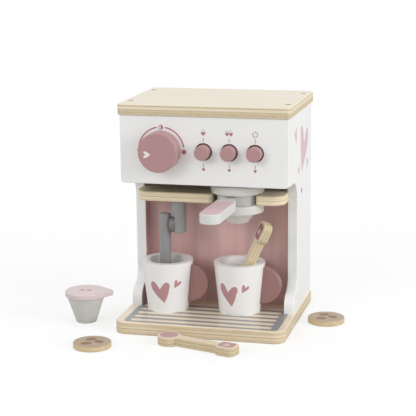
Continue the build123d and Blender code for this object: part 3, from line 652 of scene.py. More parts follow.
def lacquer(name, paint, under=BOARD_UNDER, rough=0.42, mottle=0.05, edge_share=0.3, coat=0.12,
            coat_rough=0.3, streaks=0.0, bay_paint=None):
    finish, tree, shader, spot = new_finish(
        name, {"Specular IOR Level": LACQUER_SHEEN, "Coat Weight": coat,
               "Coat Roughness": coat_rough})
    film_paint = with_painted_reflections(tree, spot, paint, streaks) if streaks else paint
    if bay_paint:
        film_paint = inside_bay(tree, spot, film_paint, bay_paint)
    film = use_effect(tree, lacquer_coat, {"Vector": spot, "Paint": film_paint, "Mottle": mottle,
                                           "Roughness": rough})
    edge = use_effect(tree, thin_edge, {"Reach": EDGE_REACH, "Vector": spot})["Mask"]
    edge = calc(tree, "MULTIPLY", edge, edge_share)
    colour = blend_colours(tree, edge, film["Color"], under)
    feed(tree, shader, colour, film["Roughness"], film["Height"], strength=0.06,
         distance=0.2 * MM)
    return finish


print("bay top at", round(BAY_TOP, 4))

# %% [markdown]
# The pots on the paint shelf: each finish by name, with its paint, the tone that shows through on a
# sharp edge where that isn't bare board, and what else is special about it.

# %% Lacquers
LACQUERS = {
    "white_lacquer": dict(paint=tint(239, 240, 239), edge_share=0.12, mottle=0.03),
    "side_lacquer": dict(paint=tint(240, 241, 240), edge_share=0.12, mottle=0.03,
                         bay_paint=tint(196, 156, 154)),
    # The back board's rose is lighter than the knob's, painted light for the shaded bay, and carries
    # the painted reflection streaks.
    "bay_rose_painted_light": dict(paint=tint(214, 176, 173), edge_share=0.0, mottle=0.06, streaks=1.0,
                        coat=0.3),
    "mug_lacquer": dict(paint=tint(240, 240, 239), rough=0.34, edge_share=0.08, mottle=0.03),
    "rose_lacquer": dict(paint=tint(178, 138, 139), under=tint(204, 172, 166), mottle=0.07),
    # The mug handles take a darker rose: painted shade for the mugs' shadow on them.
    "shaded_handle_rose": dict(paint=tint(154, 115, 112), under=tint(182, 146, 142), mottle=0.06),
    "inlay_lacquer": dict(paint=tint(214, 182, 188), under=tint(226, 204, 204), rough=0.3,
                          mottle=0.06),
    "lid_lacquer": dict(paint=tint(217, 200, 200), under=tint(224, 210, 208), mottle=0.04),
    "warm_grey_lacquer": dict(paint=tint(218, 217, 212), mottle=0.04),
    "flange_lacquer": dict(paint=tint(219, 218, 213), mottle=0.04),
    # The filter handle takes a greyer white than the boards: painted shade for the head's shadow on
    # its front.
    "shaded_handle_white": dict(paint=tint(216, 217, 215), edge_share=0.12, mottle=0.03),
    "neck_lacquer": dict(paint=tint(196, 197, 194), rough=0.2, mottle=0.04, coat=0.6,
                         coat_rough=0.08),
    "cup_lacquer": dict(paint=tint(206, 205, 200), mottle=0.04),
    "grey_lacquer": dict(paint=tint(148, 147, 147), under=tint(170, 168, 165), rough=0.3,
                         mottle=0.06, coat=0.3, coat_rough=0.12),
    "hub_lacquer": dict(paint=tint(122, 121, 121), under=tint(150, 148, 146), mottle=0.06),
}
lacquers = {name: lacquer(name, **recipe) for name, recipe in LACQUERS.items()}
print("lacquers", len(lacquers))

# %% [markdown]
# ### Steel
#
# The springs, the pin of the milk wand and the screws are plain steel. Drawn and turned steel has
# fine scratches and a few duller patches, which show as changes in roughness rather than in colour.

# %% Steel
SCRATCH_SCALE, PATCH_SCALE = 500.0, 120.0
SCRATCH_SQUEEZE = (1, 1, 12)
STEEL_DULL = tint(150, 148, 146)


def steel(name, colour, rough):
    finish, tree, shader, spot = new_finish(name, {"Metallic": 1.0})
    scratches = cloud(tree, squeezed(tree, spot, SCRATCH_SQUEEZE), SCRATCH_SCALE)
    patches = cloud(tree, spot, PATCH_SCALE)
    shade = blend_colours(tree, between(tree, patches, 0.35, 0.7), colour, STEEL_DULL)
    dull = calc(tree, "MULTIPLY_ADD", patches, 0.25, rough)
    feed(tree, shader, shade, dull, scratches, strength=0.1, distance=0.1 * MM)
    return finish


steel_screw = steel("steel_screw", tint(196, 196, 194), 0.28)
spring_steel = steel("spring_steel", tint(178, 180, 184), 0.22)
print("steel", steel_screw.name, spring_steel.name)

# %% [markdown]
# ## Put the finishes on the frame's pieces
#
# Every node of the frame keeps its own shape and only changes its material. The table below reads
# like a paint list: a finish, and the pieces that take it.

# %% Paint list
PAINT_LIST = [
    (birch_base, ["base_plate"]),
    (birch_top, ["top_plate"]),
    (birch_shelf, ["shelf_plate"]),
    (birch_lying, ["stirrer_on_table"]),
    (birch_leaning, ["stirrer_in_mug"]),
    (disc_wood, ["bean_disc_left", "bean_disc_right"]),
    (lacquers["white_lacquer"], ["front_panel", "rear_cover"]),
    (lacquers["side_lacquer"], ["left_side_panel", "right_side_panel"]),
    (lacquers["bay_rose_painted_light"], ["back_panel"]),
    (lacquers["mug_lacquer"], ["mug_left", "mug_right"]),
    (lacquers["rose_lacquer"], ["knob", "button_left", "button_middle", "button_right"]),
    (lacquers["shaded_handle_rose"], ["mug_handle_left", "mug_handle_right"]),
    (lacquers["inlay_lacquer"], ["filter_handle_inlay"]),
    (lacquers["lid_lacquer"], ["capsule_lid"]),
    (lacquers["warm_grey_lacquer"], ["filter_collar", "filter_basket"]),
    (lacquers["flange_lacquer"], ["filter_flange"]),
    (lacquers["shaded_handle_white"], ["filter_handle"]),
    (lacquers["neck_lacquer"], ["filter_neck"]),
    (lacquers["cup_lacquer"], ["capsule_cup"]),
    (lacquers["grey_lacquer"], ["wand_rod", "wand_arm"]),
    (lacquers["hub_lacquer"], ["wand_hub"]),
    (dowel_wood, ["top_dowels", "panel_dowels", "rail_dowels", "knob_spindle",
                  "filter_handle_dowel", "filter_pivot_dowel"]),
    (beech, ["rear_battens", "spring_rail", "knob_washer"]),
    (steel_screw, ["base_screws", "shelf_screws", "cover_screws", "wand_pin"]),
    (spring_steel, ["button_spring_left", "button_spring_middle", "button_spring_right"]),
]
painted = set()
for finish, names in PAINT_LIST:
    for name in names:
        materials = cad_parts[name].data.materials
        materials.clear()
        materials.append(finish)
        painted.add(name)
print("painted", len(painted), "left bare", sorted(set(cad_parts) - painted))

# %% [markdown]
# ## Prints
#
# The hearts, the dial and the grid on the base are screen prints: a film of ink with a crisp edge.
# Each is made as a thin solid that stands a few hundredths of a millimetre proud of the surface and
# reaches a little way into it, so the edge stays crisp from any distance and nothing flickers.
# First come the plain outlines, drawn flat in millimetres.

# %% Outlines
def turned(x, y, angle, points):
    """Points turned about the origin and then moved to x, y."""
    cosine, sine = math.cos(angle), math.sin(angle)
    return [(x + u * cosine - v * sine, y + u * sine + v * cosine) for u, v in points]


def circle(x, y, radius, steps=32):
    angles = [math.tau * step / steps for step in range(steps)]
    return [(x + radius * math.cos(a), y + radius * math.sin(a)) for a in angles]


def arc_band(x, y, radius, width, start, stop, steps=28):
    """A stretch of a ring between two angles in degrees."""
    angles = [math.radians(start + (stop - start) * step / steps) for step in range(steps + 1)]
    outer, inner = ([(x + reach * math.cos(a), y + reach * math.sin(a)) for a in angles]
                    for reach in (radius + width / 2, radius - width / 2))
    return outer + inner[::-1]


def rounded_box(x0, y0, x1, y1, radius, steps=8):
    points = []
    for cx, cy, first in ((x1 - radius, y1 - radius, 0), (x0 + radius, y1 - radius, 90),
                          (x0 + radius, y0 + radius, 180), (x1 - radius, y0 + radius, 270)):
        for step in range(steps + 1):
            angle = math.radians(first + 90 * step / steps)
            points.append((cx + radius * math.cos(angle), cy + radius * math.sin(angle)))
    return points


print("a circle has", len(circle(0, 0, 1)), "points")

# %% [markdown]
# A heart is drawn as one half, from the cleft round to the tip, with a curve through a few points,
# and mirrored. A coffee bean seen from above is two halves on either side of a curved crease.

# %% Hearts and beans
CLEFT = 0.14
HEART_HALF = [(0.0, CLEFT), (0.14, 0.35), (0.29, 0.49), (0.43, 0.475), (0.5, 0.31), (0.42, 0.06),
              (0.24, -0.22), (0.0, -0.5)]
BEAN_CREASE = 0.7
BEAN_CURVE = 0.14
BEAN_STEPS = 16


def smooth(points, steps=6):
    """A curve through all points, which starts and ends at the first and the last."""
    ends = [points[0]] + points + [points[-1]]
    curve = []
    for before, start, stop, after in zip(ends, ends[1:], ends[2:], ends[3:]):
        for step in range(steps):
            t = step / steps
            curve.append(tuple(
                0.5 * (2 * b + (c - a) * t + (2 * a - 5 * b + 4 * c - d) * t * t
                       + (3 * b - a - 3 * c + d) * t ** 3)
                for a, b, c, d in zip(before, start, stop, after)))
    return curve + [points[-1]]


def heart(x, y, width, height, tilt=0.0, swing=0.0):
    """A slim heart. A tilt in degrees turns it anticlockwise, and a swing moves its tip right."""
    half = smooth(HEART_HALF)
    outline = [(-across, up) for across, up in half] + half[-2:0:-1]
    shaped = [((across + swing * max(0.0, CLEFT - up) / (CLEFT + 0.5)) * width, up * height)
              for across, up in outline]
    return turned(x, y, math.radians(tilt), shaped)


def bean(x, y, length, width, tilt):
    halves = []
    shares = [step / BEAN_STEPS for step in range(1, BEAN_STEPS)]
    for side in (1, -1):
        rim = [(length / 2 * math.cos(math.pi * s), side * width / 2 * math.sin(math.pi * s))
               for s in shares]
        crease = [(-length / 2 + length * s,
                   side * BEAN_CREASE / 2 - width * BEAN_CURVE * math.sin(math.tau * s))
                  for s in shares]
        halves.append(turned(x, y, math.radians(tilt), rim + crease)[::side])
    return halves


print("heart points", len(heart(0, 0, 10, 10)), "bean halves", len(bean(0, 0, 12, 8, 0)))

# %% [markdown]
# Two Geometry Nodes trees turn outlines into ink. Both fill them and give the fill its thickness,
# and each ends in Realize Instances and Set Material, so that what comes out is a plain painted
# mesh.

# %% Tree helpers
SHAPE, COUNT, FINISH = "NodeSocketGeometry", "NodeSocketInt", "NodeSocketMaterial"
WELD = 0.001 * MM


def new_tree(name, inputs):
    tree = bpy.data.node_groups.new(name, "GeometryNodeTree")
    for socket, kind in [("Geometry", SHAPE)] + inputs:
        tree.interface.new_socket(name=socket, in_out="INPUT", socket_type=kind)
    tree.interface.new_socket(name="Geometry", in_out="OUTPUT", socket_type=SHAPE)
    return tree, put(tree, "NodeGroupInput").outputs, put(tree, "NodeGroupOutput")


def finish_tree(tree, end, shape, material):
    real = put(tree, "GeometryNodeRealizeInstances", {0: shape}).outputs[0]
    dressed = put(tree, "GeometryNodeSetMaterial", {"Geometry": real, "Material": material})
    wire(tree, end.inputs[0], dressed.outputs[0])
    return tree


def filled(tree, outlines):
    curve = put(tree, "GeometryNodeMeshToCurve", {0: outlines}).outputs[0]
    return put(tree, "GeometryNodeFillCurve", {"Curve": curve}).outputs[0]


def thickened(tree, sheet, thickness):
    """A closed film: the sheet raised, its walls, and the sheet again facing down."""
    raised = put(tree, "GeometryNodeExtrudeMesh",
                 {"Mesh": sheet, "Offset Scale": thickness, "Individual": False}).outputs[0]
    under = put(tree, "GeometryNodeFlipFaces", {0: sheet}).outputs[0]
    joined = put(tree, "GeometryNodeJoinGeometry", {0: raised})
    wire(tree, joined.inputs[0], under)
    return put(tree, "GeometryNodeMergeByDistance",
               {0: joined.outputs[0], "Distance": WELD}).outputs[0]


print("tree helpers ready")

# %% [markdown]
# The first tree sinks the film a little into a flat face and turns it to lie on that face. The
# second cuts the fill fine and bends it round a cone, because the mugs taper: a point's height
# picks the radius, and its distance across becomes an angle.

# %% Ink trees
FLAT_INPUTS = [("Sink", NUMBER), ("Thickness", NUMBER), ("Place", PLACE), ("Turn", PLACE),
               ("Ink", FINISH)]
WRAP_INPUTS = [("Sink", NUMBER), ("Thickness", NUMBER), ("Foot radius", NUMBER),
               ("Taper", NUMBER), ("Print radius", NUMBER), ("Fineness", COUNT),
               ("Axis", PLACE), ("Ink", FINISH)]


def make_flat_ink():
    tree, start, end = new_tree("flat_ink", FLAT_INPUTS)
    down = calc(tree, "MULTIPLY", start["Sink"], -1.0)
    drop = put(tree, "ShaderNodeCombineXYZ", {2: down}).outputs[0]
    sheet = put(tree, "GeometryNodeSetPosition",
                {"Geometry": filled(tree, start["Geometry"]), "Offset": drop}).outputs[0]
    film = thickened(tree, sheet, start["Thickness"])
    turn = put(tree, "FunctionNodeEulerToRotation", {0: start["Turn"]}).outputs[0]
    film = put(tree, "GeometryNodeTransform", {"Geometry": film, "Translation": start["Place"],
                                               "Rotation": turn}).outputs[0]
    return finish_tree(tree, end, film, start["Ink"])


def make_wrapped_ink():
    tree, start, end = new_tree("wrapped_ink", WRAP_INPUTS)
    sheet = put(tree, "GeometryNodeSubdivideMesh",
                {"Mesh": filled(tree, start["Geometry"]), "Level": start["Fineness"]}).outputs[0]
    spot = put(tree, "GeometryNodeInputPosition").outputs[0]
    point = put(tree, "ShaderNodeSeparateXYZ", {0: spot}).outputs
    angle = calc(tree, "DIVIDE", point[0], start["Print radius"])
    foot = calc(tree, "SUBTRACT", start["Foot radius"], start["Sink"])
    radius = calc(tree, "MULTIPLY_ADD", point[1], start["Taper"], foot)
    across = calc(tree, "MULTIPLY", radius, calc(tree, "SINE", angle))
    forward = calc(tree, "MULTIPLY", calc(tree, "COSINE", angle), -1.0)
    forward = calc(tree, "MULTIPLY", radius, forward)
    bent = put(tree, "ShaderNodeCombineXYZ", {0: across, 1: forward, 2: point[1]}).outputs[0]
    bent = put(tree, "ShaderNodeVectorMath", {0: bent, 1: start["Axis"]}, operation="ADD")
    sheet = put(tree, "GeometryNodeSetPosition",
                {"Geometry": sheet, "Position": bent.outputs[0]}).outputs[0]
    return finish_tree(tree, end, thickened(tree, sheet, start["Thickness"]), start["Ink"])


flat_ink = make_flat_ink()
wrapped_ink = make_wrapped_ink()
print("trees", flat_ink.name, wrapped_ink.name)

# %% [markdown]
# A tree needs something to work on. `grow` makes an object from plain outlines, sets the modifier's
# inputs by their identifiers, reads the result back as an ordinary mesh, and takes the modifier off
# again, so what remains is a plain piece that can ride on a body. The signed volume that it prints
# is above zero when the faces point outwards.

# %% Grow a piece
def outline_mesh(name, loops):
    points, edges = [], []
    for loop in loops:
        first = len(points)
        points += [(x * MM, y * MM, 0) for x, y in loop]
        edges += [(first + i, first + (i + 1) % len(loop)) for i in range(len(loop))]
    mesh = bpy.data.meshes.new(name)
    mesh.from_pydata(points, edges, [])
    return mesh


def signed_volume(mesh):
    mesh.calc_loop_triangles()
    spots = [vertex.co for vertex in mesh.vertices]
    return sum(spots[a].dot(spots[b].cross(spots[c])) / 6 for a, b, c in
               (triangle.vertices for triangle in mesh.loop_triangles))


def grow(name, tree, mesh, values):
    piece = bpy.data.objects.new(name, mesh)
    scene.collection.objects.link(piece)
    modifier = piece.modifiers.new("grow", "NODES")
    modifier.node_group = tree
    sockets = {item.name: item.identifier for item in tree.interface.items_tree
               if item.in_out == "INPUT"}
    for socket, value in values.items():
        modifier[sockets[socket]] = value
    evaluated = piece.evaluated_get(bpy.context.evaluated_depsgraph_get())
    grown = bpy.data.meshes.new_from_object(evaluated)
    piece.modifiers.clear()
    piece.data = grown
    grown.name = name
    volume = round(signed_volume(grown) / MM ** 3, 3)
    print(name, "faces", len(grown.polygons), "volume mm3", volume)
    return piece


print("grow ready")

# %% [markdown]
# Ink itself is a thin, slightly uneven film. It has pinholes the size of the screen's mesh, and its
# sheen is duller than the lacquer round it. Only the grid's ink lies under the base's clear coat.

# %% Inks
INK_ROUGH = 0.5
INK_MOTTLE = 0.08
PINHOLE_SCALE = 1500.0
PINHOLE_FROM, PINHOLE_FULL, PINHOLE_SHARE = 0.72, 0.8, 0.2
PINHOLE_TONE = tint(235, 230, 226)
INKS = {"rose_ink": (186, 140, 144), "dial_ink": (176, 112, 122), "pale_ink": (216, 188, 194),
        "white_ink": (240, 228, 228), "grey_ink": (142, 144, 146), "bean_ink": (138, 103, 76),
        "label_ink": (170, 118, 122), "spot_ink": (194, 154, 157), "cream_ink": (226, 208, 196)}
COATED_INKS = {"grey_ink": 0.5}


def ink(name, colour, coat):
    finish, tree, shader, spot = new_finish(
        name, {"Coat Weight": coat, "Coat Roughness": CLEAR_COAT_ROUGH})
    film = use_effect(tree, lacquer_coat, {"Vector": spot, "Paint": colour, "Mottle": INK_MOTTLE,
                                           "Roughness": INK_ROUGH})
    pinholes = cloud(tree, spot, PINHOLE_SCALE, 1.0)
    pinholes = between(tree, pinholes, PINHOLE_FROM, PINHOLE_FULL)
    pinholes = calc(tree, "MULTIPLY", pinholes, PINHOLE_SHARE)
    pale = blend_colours(tree, pinholes, film["Color"], PINHOLE_TONE)
    feed(tree, shader, pale, film["Roughness"], film["Height"], strength=0.05,
         distance=0.1 * MM)
    return finish


inks = {name: ink(name, tint(*colour), COATED_INKS.get(name, 0.0))
        for name, colour in INKS.items()}
print("inks", len(inks))

# %% [markdown]
# All flat prints go on in the same way, so one function grows the film in its ink and lets it ride
# on the body that it is printed on.

# %% Flat prints
INK_SINK = 0.15 * MM
INK_PROUD = 0.05 * MM
FACE_ON = (math.radians(90), 0.0, 0.0)


def print_flat(name, loops, colour, place, turn, body):
    values = {"Sink": INK_SINK, "Thickness": INK_SINK + INK_PROUD, "Place": place, "Turn": turn,
              "Ink": inks[colour]}
    piece = grow(name, flat_ink, outline_mesh(name, loops), values)
    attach(piece, body)


print("ink stands", INK_PROUD / MM, "mm proud")

# %% [markdown]
# ### The dial
#
# Round the knob runs an arc in two parts, with a half-filled ring at its top, a small ring at its
# left end and a filled dot at its right end.

# %% Dial
KNOB_X, KNOB_Z = -44.9, 192.6
DIAL_RADIUS, DIAL_LINE = 24.5, 1.45
DIAL_DOT = (-20.6, 191.6, 2.6)
DIAL_TOP, TOP_RADIUS, TOP_LINE = (-45.2, 216.9), 2.2, 0.7
DIAL_LEFT, LEFT_OUTER, LEFT_INNER = (-69.3, 192.4), 1.9, 1.3
FULL_HALF = TOP_RADIUS + TOP_LINE / 2 - 0.01

dial = [arc_band(KNOB_X, KNOB_Z, DIAL_RADIUS, DIAL_LINE, 174, 101),
        arc_band(KNOB_X, KNOB_Z, DIAL_RADIUS, DIAL_LINE, 80, 9),
        circle(*DIAL_DOT),
        arc_band(*DIAL_TOP, TOP_RADIUS, TOP_LINE, 90, 270),
        arc_band(*DIAL_TOP, FULL_HALF / 2, FULL_HALF, 90, -90),
        circle(*DIAL_LEFT, LEFT_OUTER), circle(*DIAL_LEFT, LEFT_INNER)]
print("dial outlines", len(dial))

# %% [markdown]
# ### The button marks
#
# Above each button is a small sign, a heart for one cup, two hearts for two and a ring for the
# switch, and fine ticks lead to it and to the dot below. They are printed with the dial in one ink
# on the front board.

# %% Front prints
BUTTONS = {0.3: "one", 27.7: "two", 55.1: "ring"}
TICK_HALF, TICK_ROUND = 0.35, 0.3
TICK_ABOVE, TICK_BELOW, RING_TICK = (203.0, 207.4), (176.2, 180.2), (213.4, 215.6)
DOT_HEIGHT, DOT_RADIUS = 174.0, 1.55
RING_HEIGHT, RING_RADIUS, RING_LINE = 212.0, 2.6, 0.7
SIGN_HEIGHT, SIGN_TALL = 211.2, 4.6
STALK, STALK_HALF, STALK_ROUND = (214.2, 216.2), 0.3, 0.28
DROP_HEIGHT, DROP_RADIUS, DROP_STEPS = 214.4, 0.35, 12
RING_FROM, RING_TO = 115, 425
SIGN_HEARTS = {"one": [(0.0, 4.9)], "two": [(-2.05, 3.95), (2.05, 3.95)]}
SIGN_STEPS = 28


def sign_heart(x, y, width, height):
    """A small full heart, drawn with the curve that schoolbooks give for one."""
    turns = [math.tau * step / SIGN_STEPS for step in range(SIGN_STEPS)]
    return [(x + width / 32 * 16 * math.sin(t) ** 3,
             y + height / 29 * (13 * math.cos(t) - 5 * math.cos(2 * t) - 2 * math.cos(3 * t)
                                - math.cos(4 * t) + 2.5))
            for t in turns]


def tick(x, ends, half=TICK_HALF, corner=TICK_ROUND):
    return rounded_box(x - half, ends[0], x + half, ends[1], corner)


def button_marks(x, sign):
    marks = [tick(x, TICK_ABOVE), tick(x, TICK_BELOW), circle(x, DOT_HEIGHT, DOT_RADIUS)]
    if sign == "ring":
        marks += [arc_band(x, RING_HEIGHT, RING_RADIUS, RING_LINE, RING_FROM, RING_TO),
                  tick(x, RING_TICK)]
    for aside, wide in SIGN_HEARTS.get(sign, []):
        middle = x + aside
        marks += [sign_heart(middle, SIGN_HEIGHT, wide, SIGN_TALL),
                  tick(middle, STALK, STALK_HALF, STALK_ROUND)]
        marks += [circle(middle + aside_drop, DROP_HEIGHT, DROP_RADIUS, DROP_STEPS)
                  for aside_drop in (-wide * 0.4, wide * 0.4)]
    return marks


button_loops = [loop for x, sign in BUTTONS.items() for loop in button_marks(x, sign)]
front_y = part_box("front_panel")[0].y
print_flat("front_prints", dial + button_loops, "dial_ink", (0, front_y, 0), FACE_ON, "machine")

# %% [markdown]
# ### The knob's heart
#
# A small white heart near the knob's rim is the pointer of the dial. It rides on the knob's own
# body and turns with it.

# %% Knob heart
KNOB_HEART = (KNOB_X - 10.9, KNOB_Z - 2.1, 7.0, 7.4, 90)
knob_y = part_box("knob")[0].y
print_flat("knob_heart", [heart(*KNOB_HEART)], "white_ink", (0, knob_y, 0), FACE_ON, "knob_body")

# %% [markdown]
# ### Hearts on the sides
#
# Each side board carries one large heart and three small ones in pale rose. The left board's are
# the mirror of the right board's.

# %% Side hearts
SIDE_HEARTS = [(36.6, 183.2, 46.0, 50.0, -12.0, -0.15), (-9.5, 204.5, 13.5, 18.5, 18.0, 0.0),
               (58.5, 164.0, 10.0, 11.5, -16.0, 0.0), (8.0, 165.3, 10.5, 10.5, 14.0, 0.0)]
FACE_RIGHT = (math.radians(90), 0, math.radians(90))
FACE_LEFT = (math.radians(90), 0, math.radians(-90))
right_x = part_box("right_side_panel")[1].x
left_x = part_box("left_side_panel")[0].x
right_hearts = [heart(*row) for row in SIDE_HEARTS]
left_hearts = [heart(-y, z, width, height, -tilt, -swing)
               for y, z, width, height, tilt, swing in SIDE_HEARTS]
print_flat("right_side_hearts", right_hearts, "pale_ink", (right_x, 0, 0), FACE_RIGHT, "machine")
print_flat("left_side_hearts", left_hearts, "pale_ink", (left_x, 0, 0), FACE_LEFT, "machine")

# %% [markdown]
# ### The grid on the base
#
# The drip grid is only printed: one grey field with rounded corners, and bare birch left in long
# rounded slots. The slots are loops inside the field's loop, and filling the curves leaves them
# open.

# %% Base grid
GRID_LEFT, GRID_RIGHT = -82.0, 84.3
GRID_FRONT, GRID_BACK = -79.6, -8.5
GRID_ROUND = 5.0
SLOT_LEFT, SLOT_RIGHT = -75.6, 76.6
SLOT_FIRST, SLOT_PITCH, SLOT_HALF = -71.0, 13.2, 3.8
SLOT_ROUND = SLOT_HALF - 0.05
SLOTS = 5
base_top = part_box("base_plate")[1].z
grid = [rounded_box(GRID_LEFT, GRID_FRONT, GRID_RIGHT, GRID_BACK, GRID_ROUND)]
for index in range(SLOTS):
    middle = SLOT_FIRST + index * SLOT_PITCH
    grid.append(rounded_box(SLOT_LEFT, middle - SLOT_HALF, SLOT_RIGHT, middle + SLOT_HALF,
                            SLOT_ROUND))
print_flat("base_grid", grid, "grey_ink", (0, 0, base_top), LEVEL, "machine")

# %% [markdown]
# ### Hearts on the mugs
#
# Each mug has a large and a small heart on its front. They are bent round the mug's cone by the
# second tree. A row gives a heart's angle round the mug, its height, its size, tilt and swing.

# %% Mug hearts
MUG_FOOT_RADIUS, MUG_RIM_RADIUS, MUG_TALL = 22.2, 27.6, 54.8
PRINT_RADIUS = 24.8
PRINT_FINENESS = 3
WRAP_PROUD = 0.09 * MM
MUGS = {
    "mug_left": ((-48.4, -20.4), [(-5.4, 23.4, 21.6, 23.2, 0.0, 0.22),
                                  (38.3, 32.2, 7.6, 9.2, -20.0, -0.2)]),
    "mug_right": ((30.0, -14.6), [(-19.2, 22.8, 21.2, 23.0, -9.0, 0.3),
                                  (25.3, 30.0, 7.6, 9.2, -20.0, -0.2)]),
}
for name, (centre, hearts) in MUGS.items():
    loops = [heart(math.radians(angle) * PRINT_RADIUS, up, *shape) for angle, up, *shape in hearts]
    values = {"Sink": INK_SINK, "Thickness": INK_SINK + WRAP_PROUD,
              "Foot radius": MUG_FOOT_RADIUS * MM,
              "Taper": (MUG_RIM_RADIUS - MUG_FOOT_RADIUS) / MUG_TALL,
              "Print radius": PRINT_RADIUS * MM, "Fineness": PRINT_FINENESS,
              "Axis": (centre[0] * MM, centre[1] * MM, base_top), "Ink": inks["rose_ink"]}
    piece = grow(name + "_hearts", wrapped_ink, outline_mesh(name, loops), values)
    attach(piece, name + "_body")

# %% [markdown]
# ### Stirrers
#
# The stirrers have a rose spot on the paddle and a rose label with a pale heart on the head. The
# heart is printed on the label, so it starts one film higher.

# %% Stirrer prints
SPOT_RADIUS, SPOT_STEPS = 9.7, 48
HEAD_MIDDLE = 68.8
LABEL_HALF_LONG, LABEL_HALF_WIDE, LABEL_ROUND = 8.7, 7.0, 4.5
HEAD_HEART = 7.0
spot_and_label = [circle(0, 0, SPOT_RADIUS, SPOT_STEPS),
                  rounded_box(HEAD_MIDDLE - LABEL_HALF_LONG, -LABEL_HALF_WIDE,
                              HEAD_MIDDLE + LABEL_HALF_LONG, LABEL_HALF_WIDE, LABEL_ROUND)]
head_heart = [heart(HEAD_MIDDLE, 0, HEAD_HEART, HEAD_HEART, 90)]
lying_top = LYING_PLACE + Vector((0, 0, STIRRER_THICK))
leaning_top = leaning_place + label_out * STIRRER_THICK
STIRRERS = [
    ("lying", lying_top, (0, 0, LYING_TURN), "stirrer_on_table_body", "spot_ink"),
    ("leaning", leaning_top, tuple(leaning_turn), "stirrer_in_mug_body", "label_ink"),
]
for name, place, turn, body, colour in STIRRERS:
    print_flat(name + "_spot", spot_and_label, colour, tuple(place), turn, body)
    higher = place + Euler(turn).to_matrix() @ Vector((0, 0, INK_PROUD))
    print_flat(name + "_heart", head_heart, "cream_ink", tuple(higher), turn, body)

# %% [markdown]
# ### Beans
#
# The bean discs show three coffee beans each, and the capsule's lid two small ones.

# %% Bean prints
DISC_BEANS = [(-3.4, 7.4, 12.0, 8.2, 41.0), (6.9, 1.1, 12.0, 8.2, -27.0),
              (-4.1, -6.6, 12.0, 8.2, 30.0)]
LID_BEANS = [(-4.0, 0.5, 7.0, 5.0, 70.0), (4.0, 0.5, 7.0, 5.0, 110.0)]
BEAN_PRINTS = [
    ("beans_left", DISC_BEANS, "bean_ink", "bean_disc_left", "bean_disc_left", "dowel_wood"),
    ("beans_right", DISC_BEANS, "bean_ink", "bean_disc_right", "bean_disc_right", "dowel_wood"),
    ("lid_beans", LID_BEANS, "rose_ink", "capsule_cup", "capsule_lid", "rose_lacquer"),
]
for name, beans, colour, round_node, top_node, slot in BEAN_PRINTS:
    low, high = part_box(round_node)
    place = ((low.x + high.x) / 2, (low.y + high.y) / 2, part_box(top_node)[1].z)
    loops = [half for row in beans for half in bean(*row)]
    print_flat(name, loops, colour, place, LEVEL, top_node + "_body")

# %% [markdown]
# ## Screws
#
# Twelve steel screws hold the boards: six small ones in the rear cover, four up through the base
# and two through the sides into the shelf. The frame has them as plain pins. They repeat, so a
# Geometry Nodes tree cuts one screw with a cross in its head and sets a copy on every point it is
# given. A point carries the way its screw faces, and a random turn with a fixed seed leaves the
# crosses at odd angles, as a screwdriver does.

# %% One screw
HEAD_SIDES, SHANK_SIDES = 24, 16
HEAD_DOME = 0.88
CROSS_LONG, CROSS_WIDE = 1.1, 0.24


def raised_by(tree, shape, height):
    lift = put(tree, "ShaderNodeCombineXYZ", {2: height}).outputs[0]
    return put(tree, "GeometryNodeTransform", {"Geometry": shape, "Translation": lift}).outputs[0]


def make_one_screw(tree, start):
    """A screw whose head lies just under the origin and whose shank points down."""
    radius, height = start["Head radius"], start["Head height"]
    head = put(tree, "GeometryNodeMeshCone",
               {"Vertices": HEAD_SIDES, "Radius Top": calc(tree, "MULTIPLY", radius, HEAD_DOME),
                "Radius Bottom": radius, "Depth": height}).outputs[0]
    head = raised_by(tree, head, calc(tree, "MULTIPLY", height, -1.0))
    reach = calc(tree, "MULTIPLY_ADD", height, -0.5, start["Length"])
    shank = put(tree, "GeometryNodeMeshCylinder",
                {"Vertices": SHANK_SIDES, "Radius": start["Shank radius"], "Depth": reach})
    middle = calc(tree, "MULTIPLY", calc(tree, "ADD", reach, height), -0.5)
    shank = raised_by(tree, shank.outputs[0], middle)
    whole = put(tree, "GeometryNodeMeshBoolean", {1: head}, operation="UNION")
    wire(tree, whole.inputs[1], shank)
    cut = put(tree, "GeometryNodeMeshBoolean", {0: whole.outputs[0]}, operation="DIFFERENCE")
    across = calc(tree, "MULTIPLY", radius, CROSS_LONG)
    narrow = calc(tree, "MULTIPLY", radius, CROSS_WIDE)
    for wide, deep in ((across, narrow), (narrow, across)):
        size = put(tree, "ShaderNodeCombineXYZ", {0: wide, 1: deep, 2: height}).outputs[0]
        wire(tree, cut.inputs[1], put(tree, "GeometryNodeMeshCube", {"Size": size}).outputs[0])
    return cut.outputs[0]


print("one screw: a head of", HEAD_SIDES, "sides on a shank of", SHANK_SIDES)

# %% [markdown]
# The tree turns each copy to face along its point's own direction, and then spins it about its own
# axis.

# %% Screw tree
SCREW_INPUTS = [("Head radius", NUMBER), ("Head height", NUMBER), ("Shank radius", NUMBER),
                ("Length", NUMBER), ("Seed", COUNT), ("Metal", FINISH)]


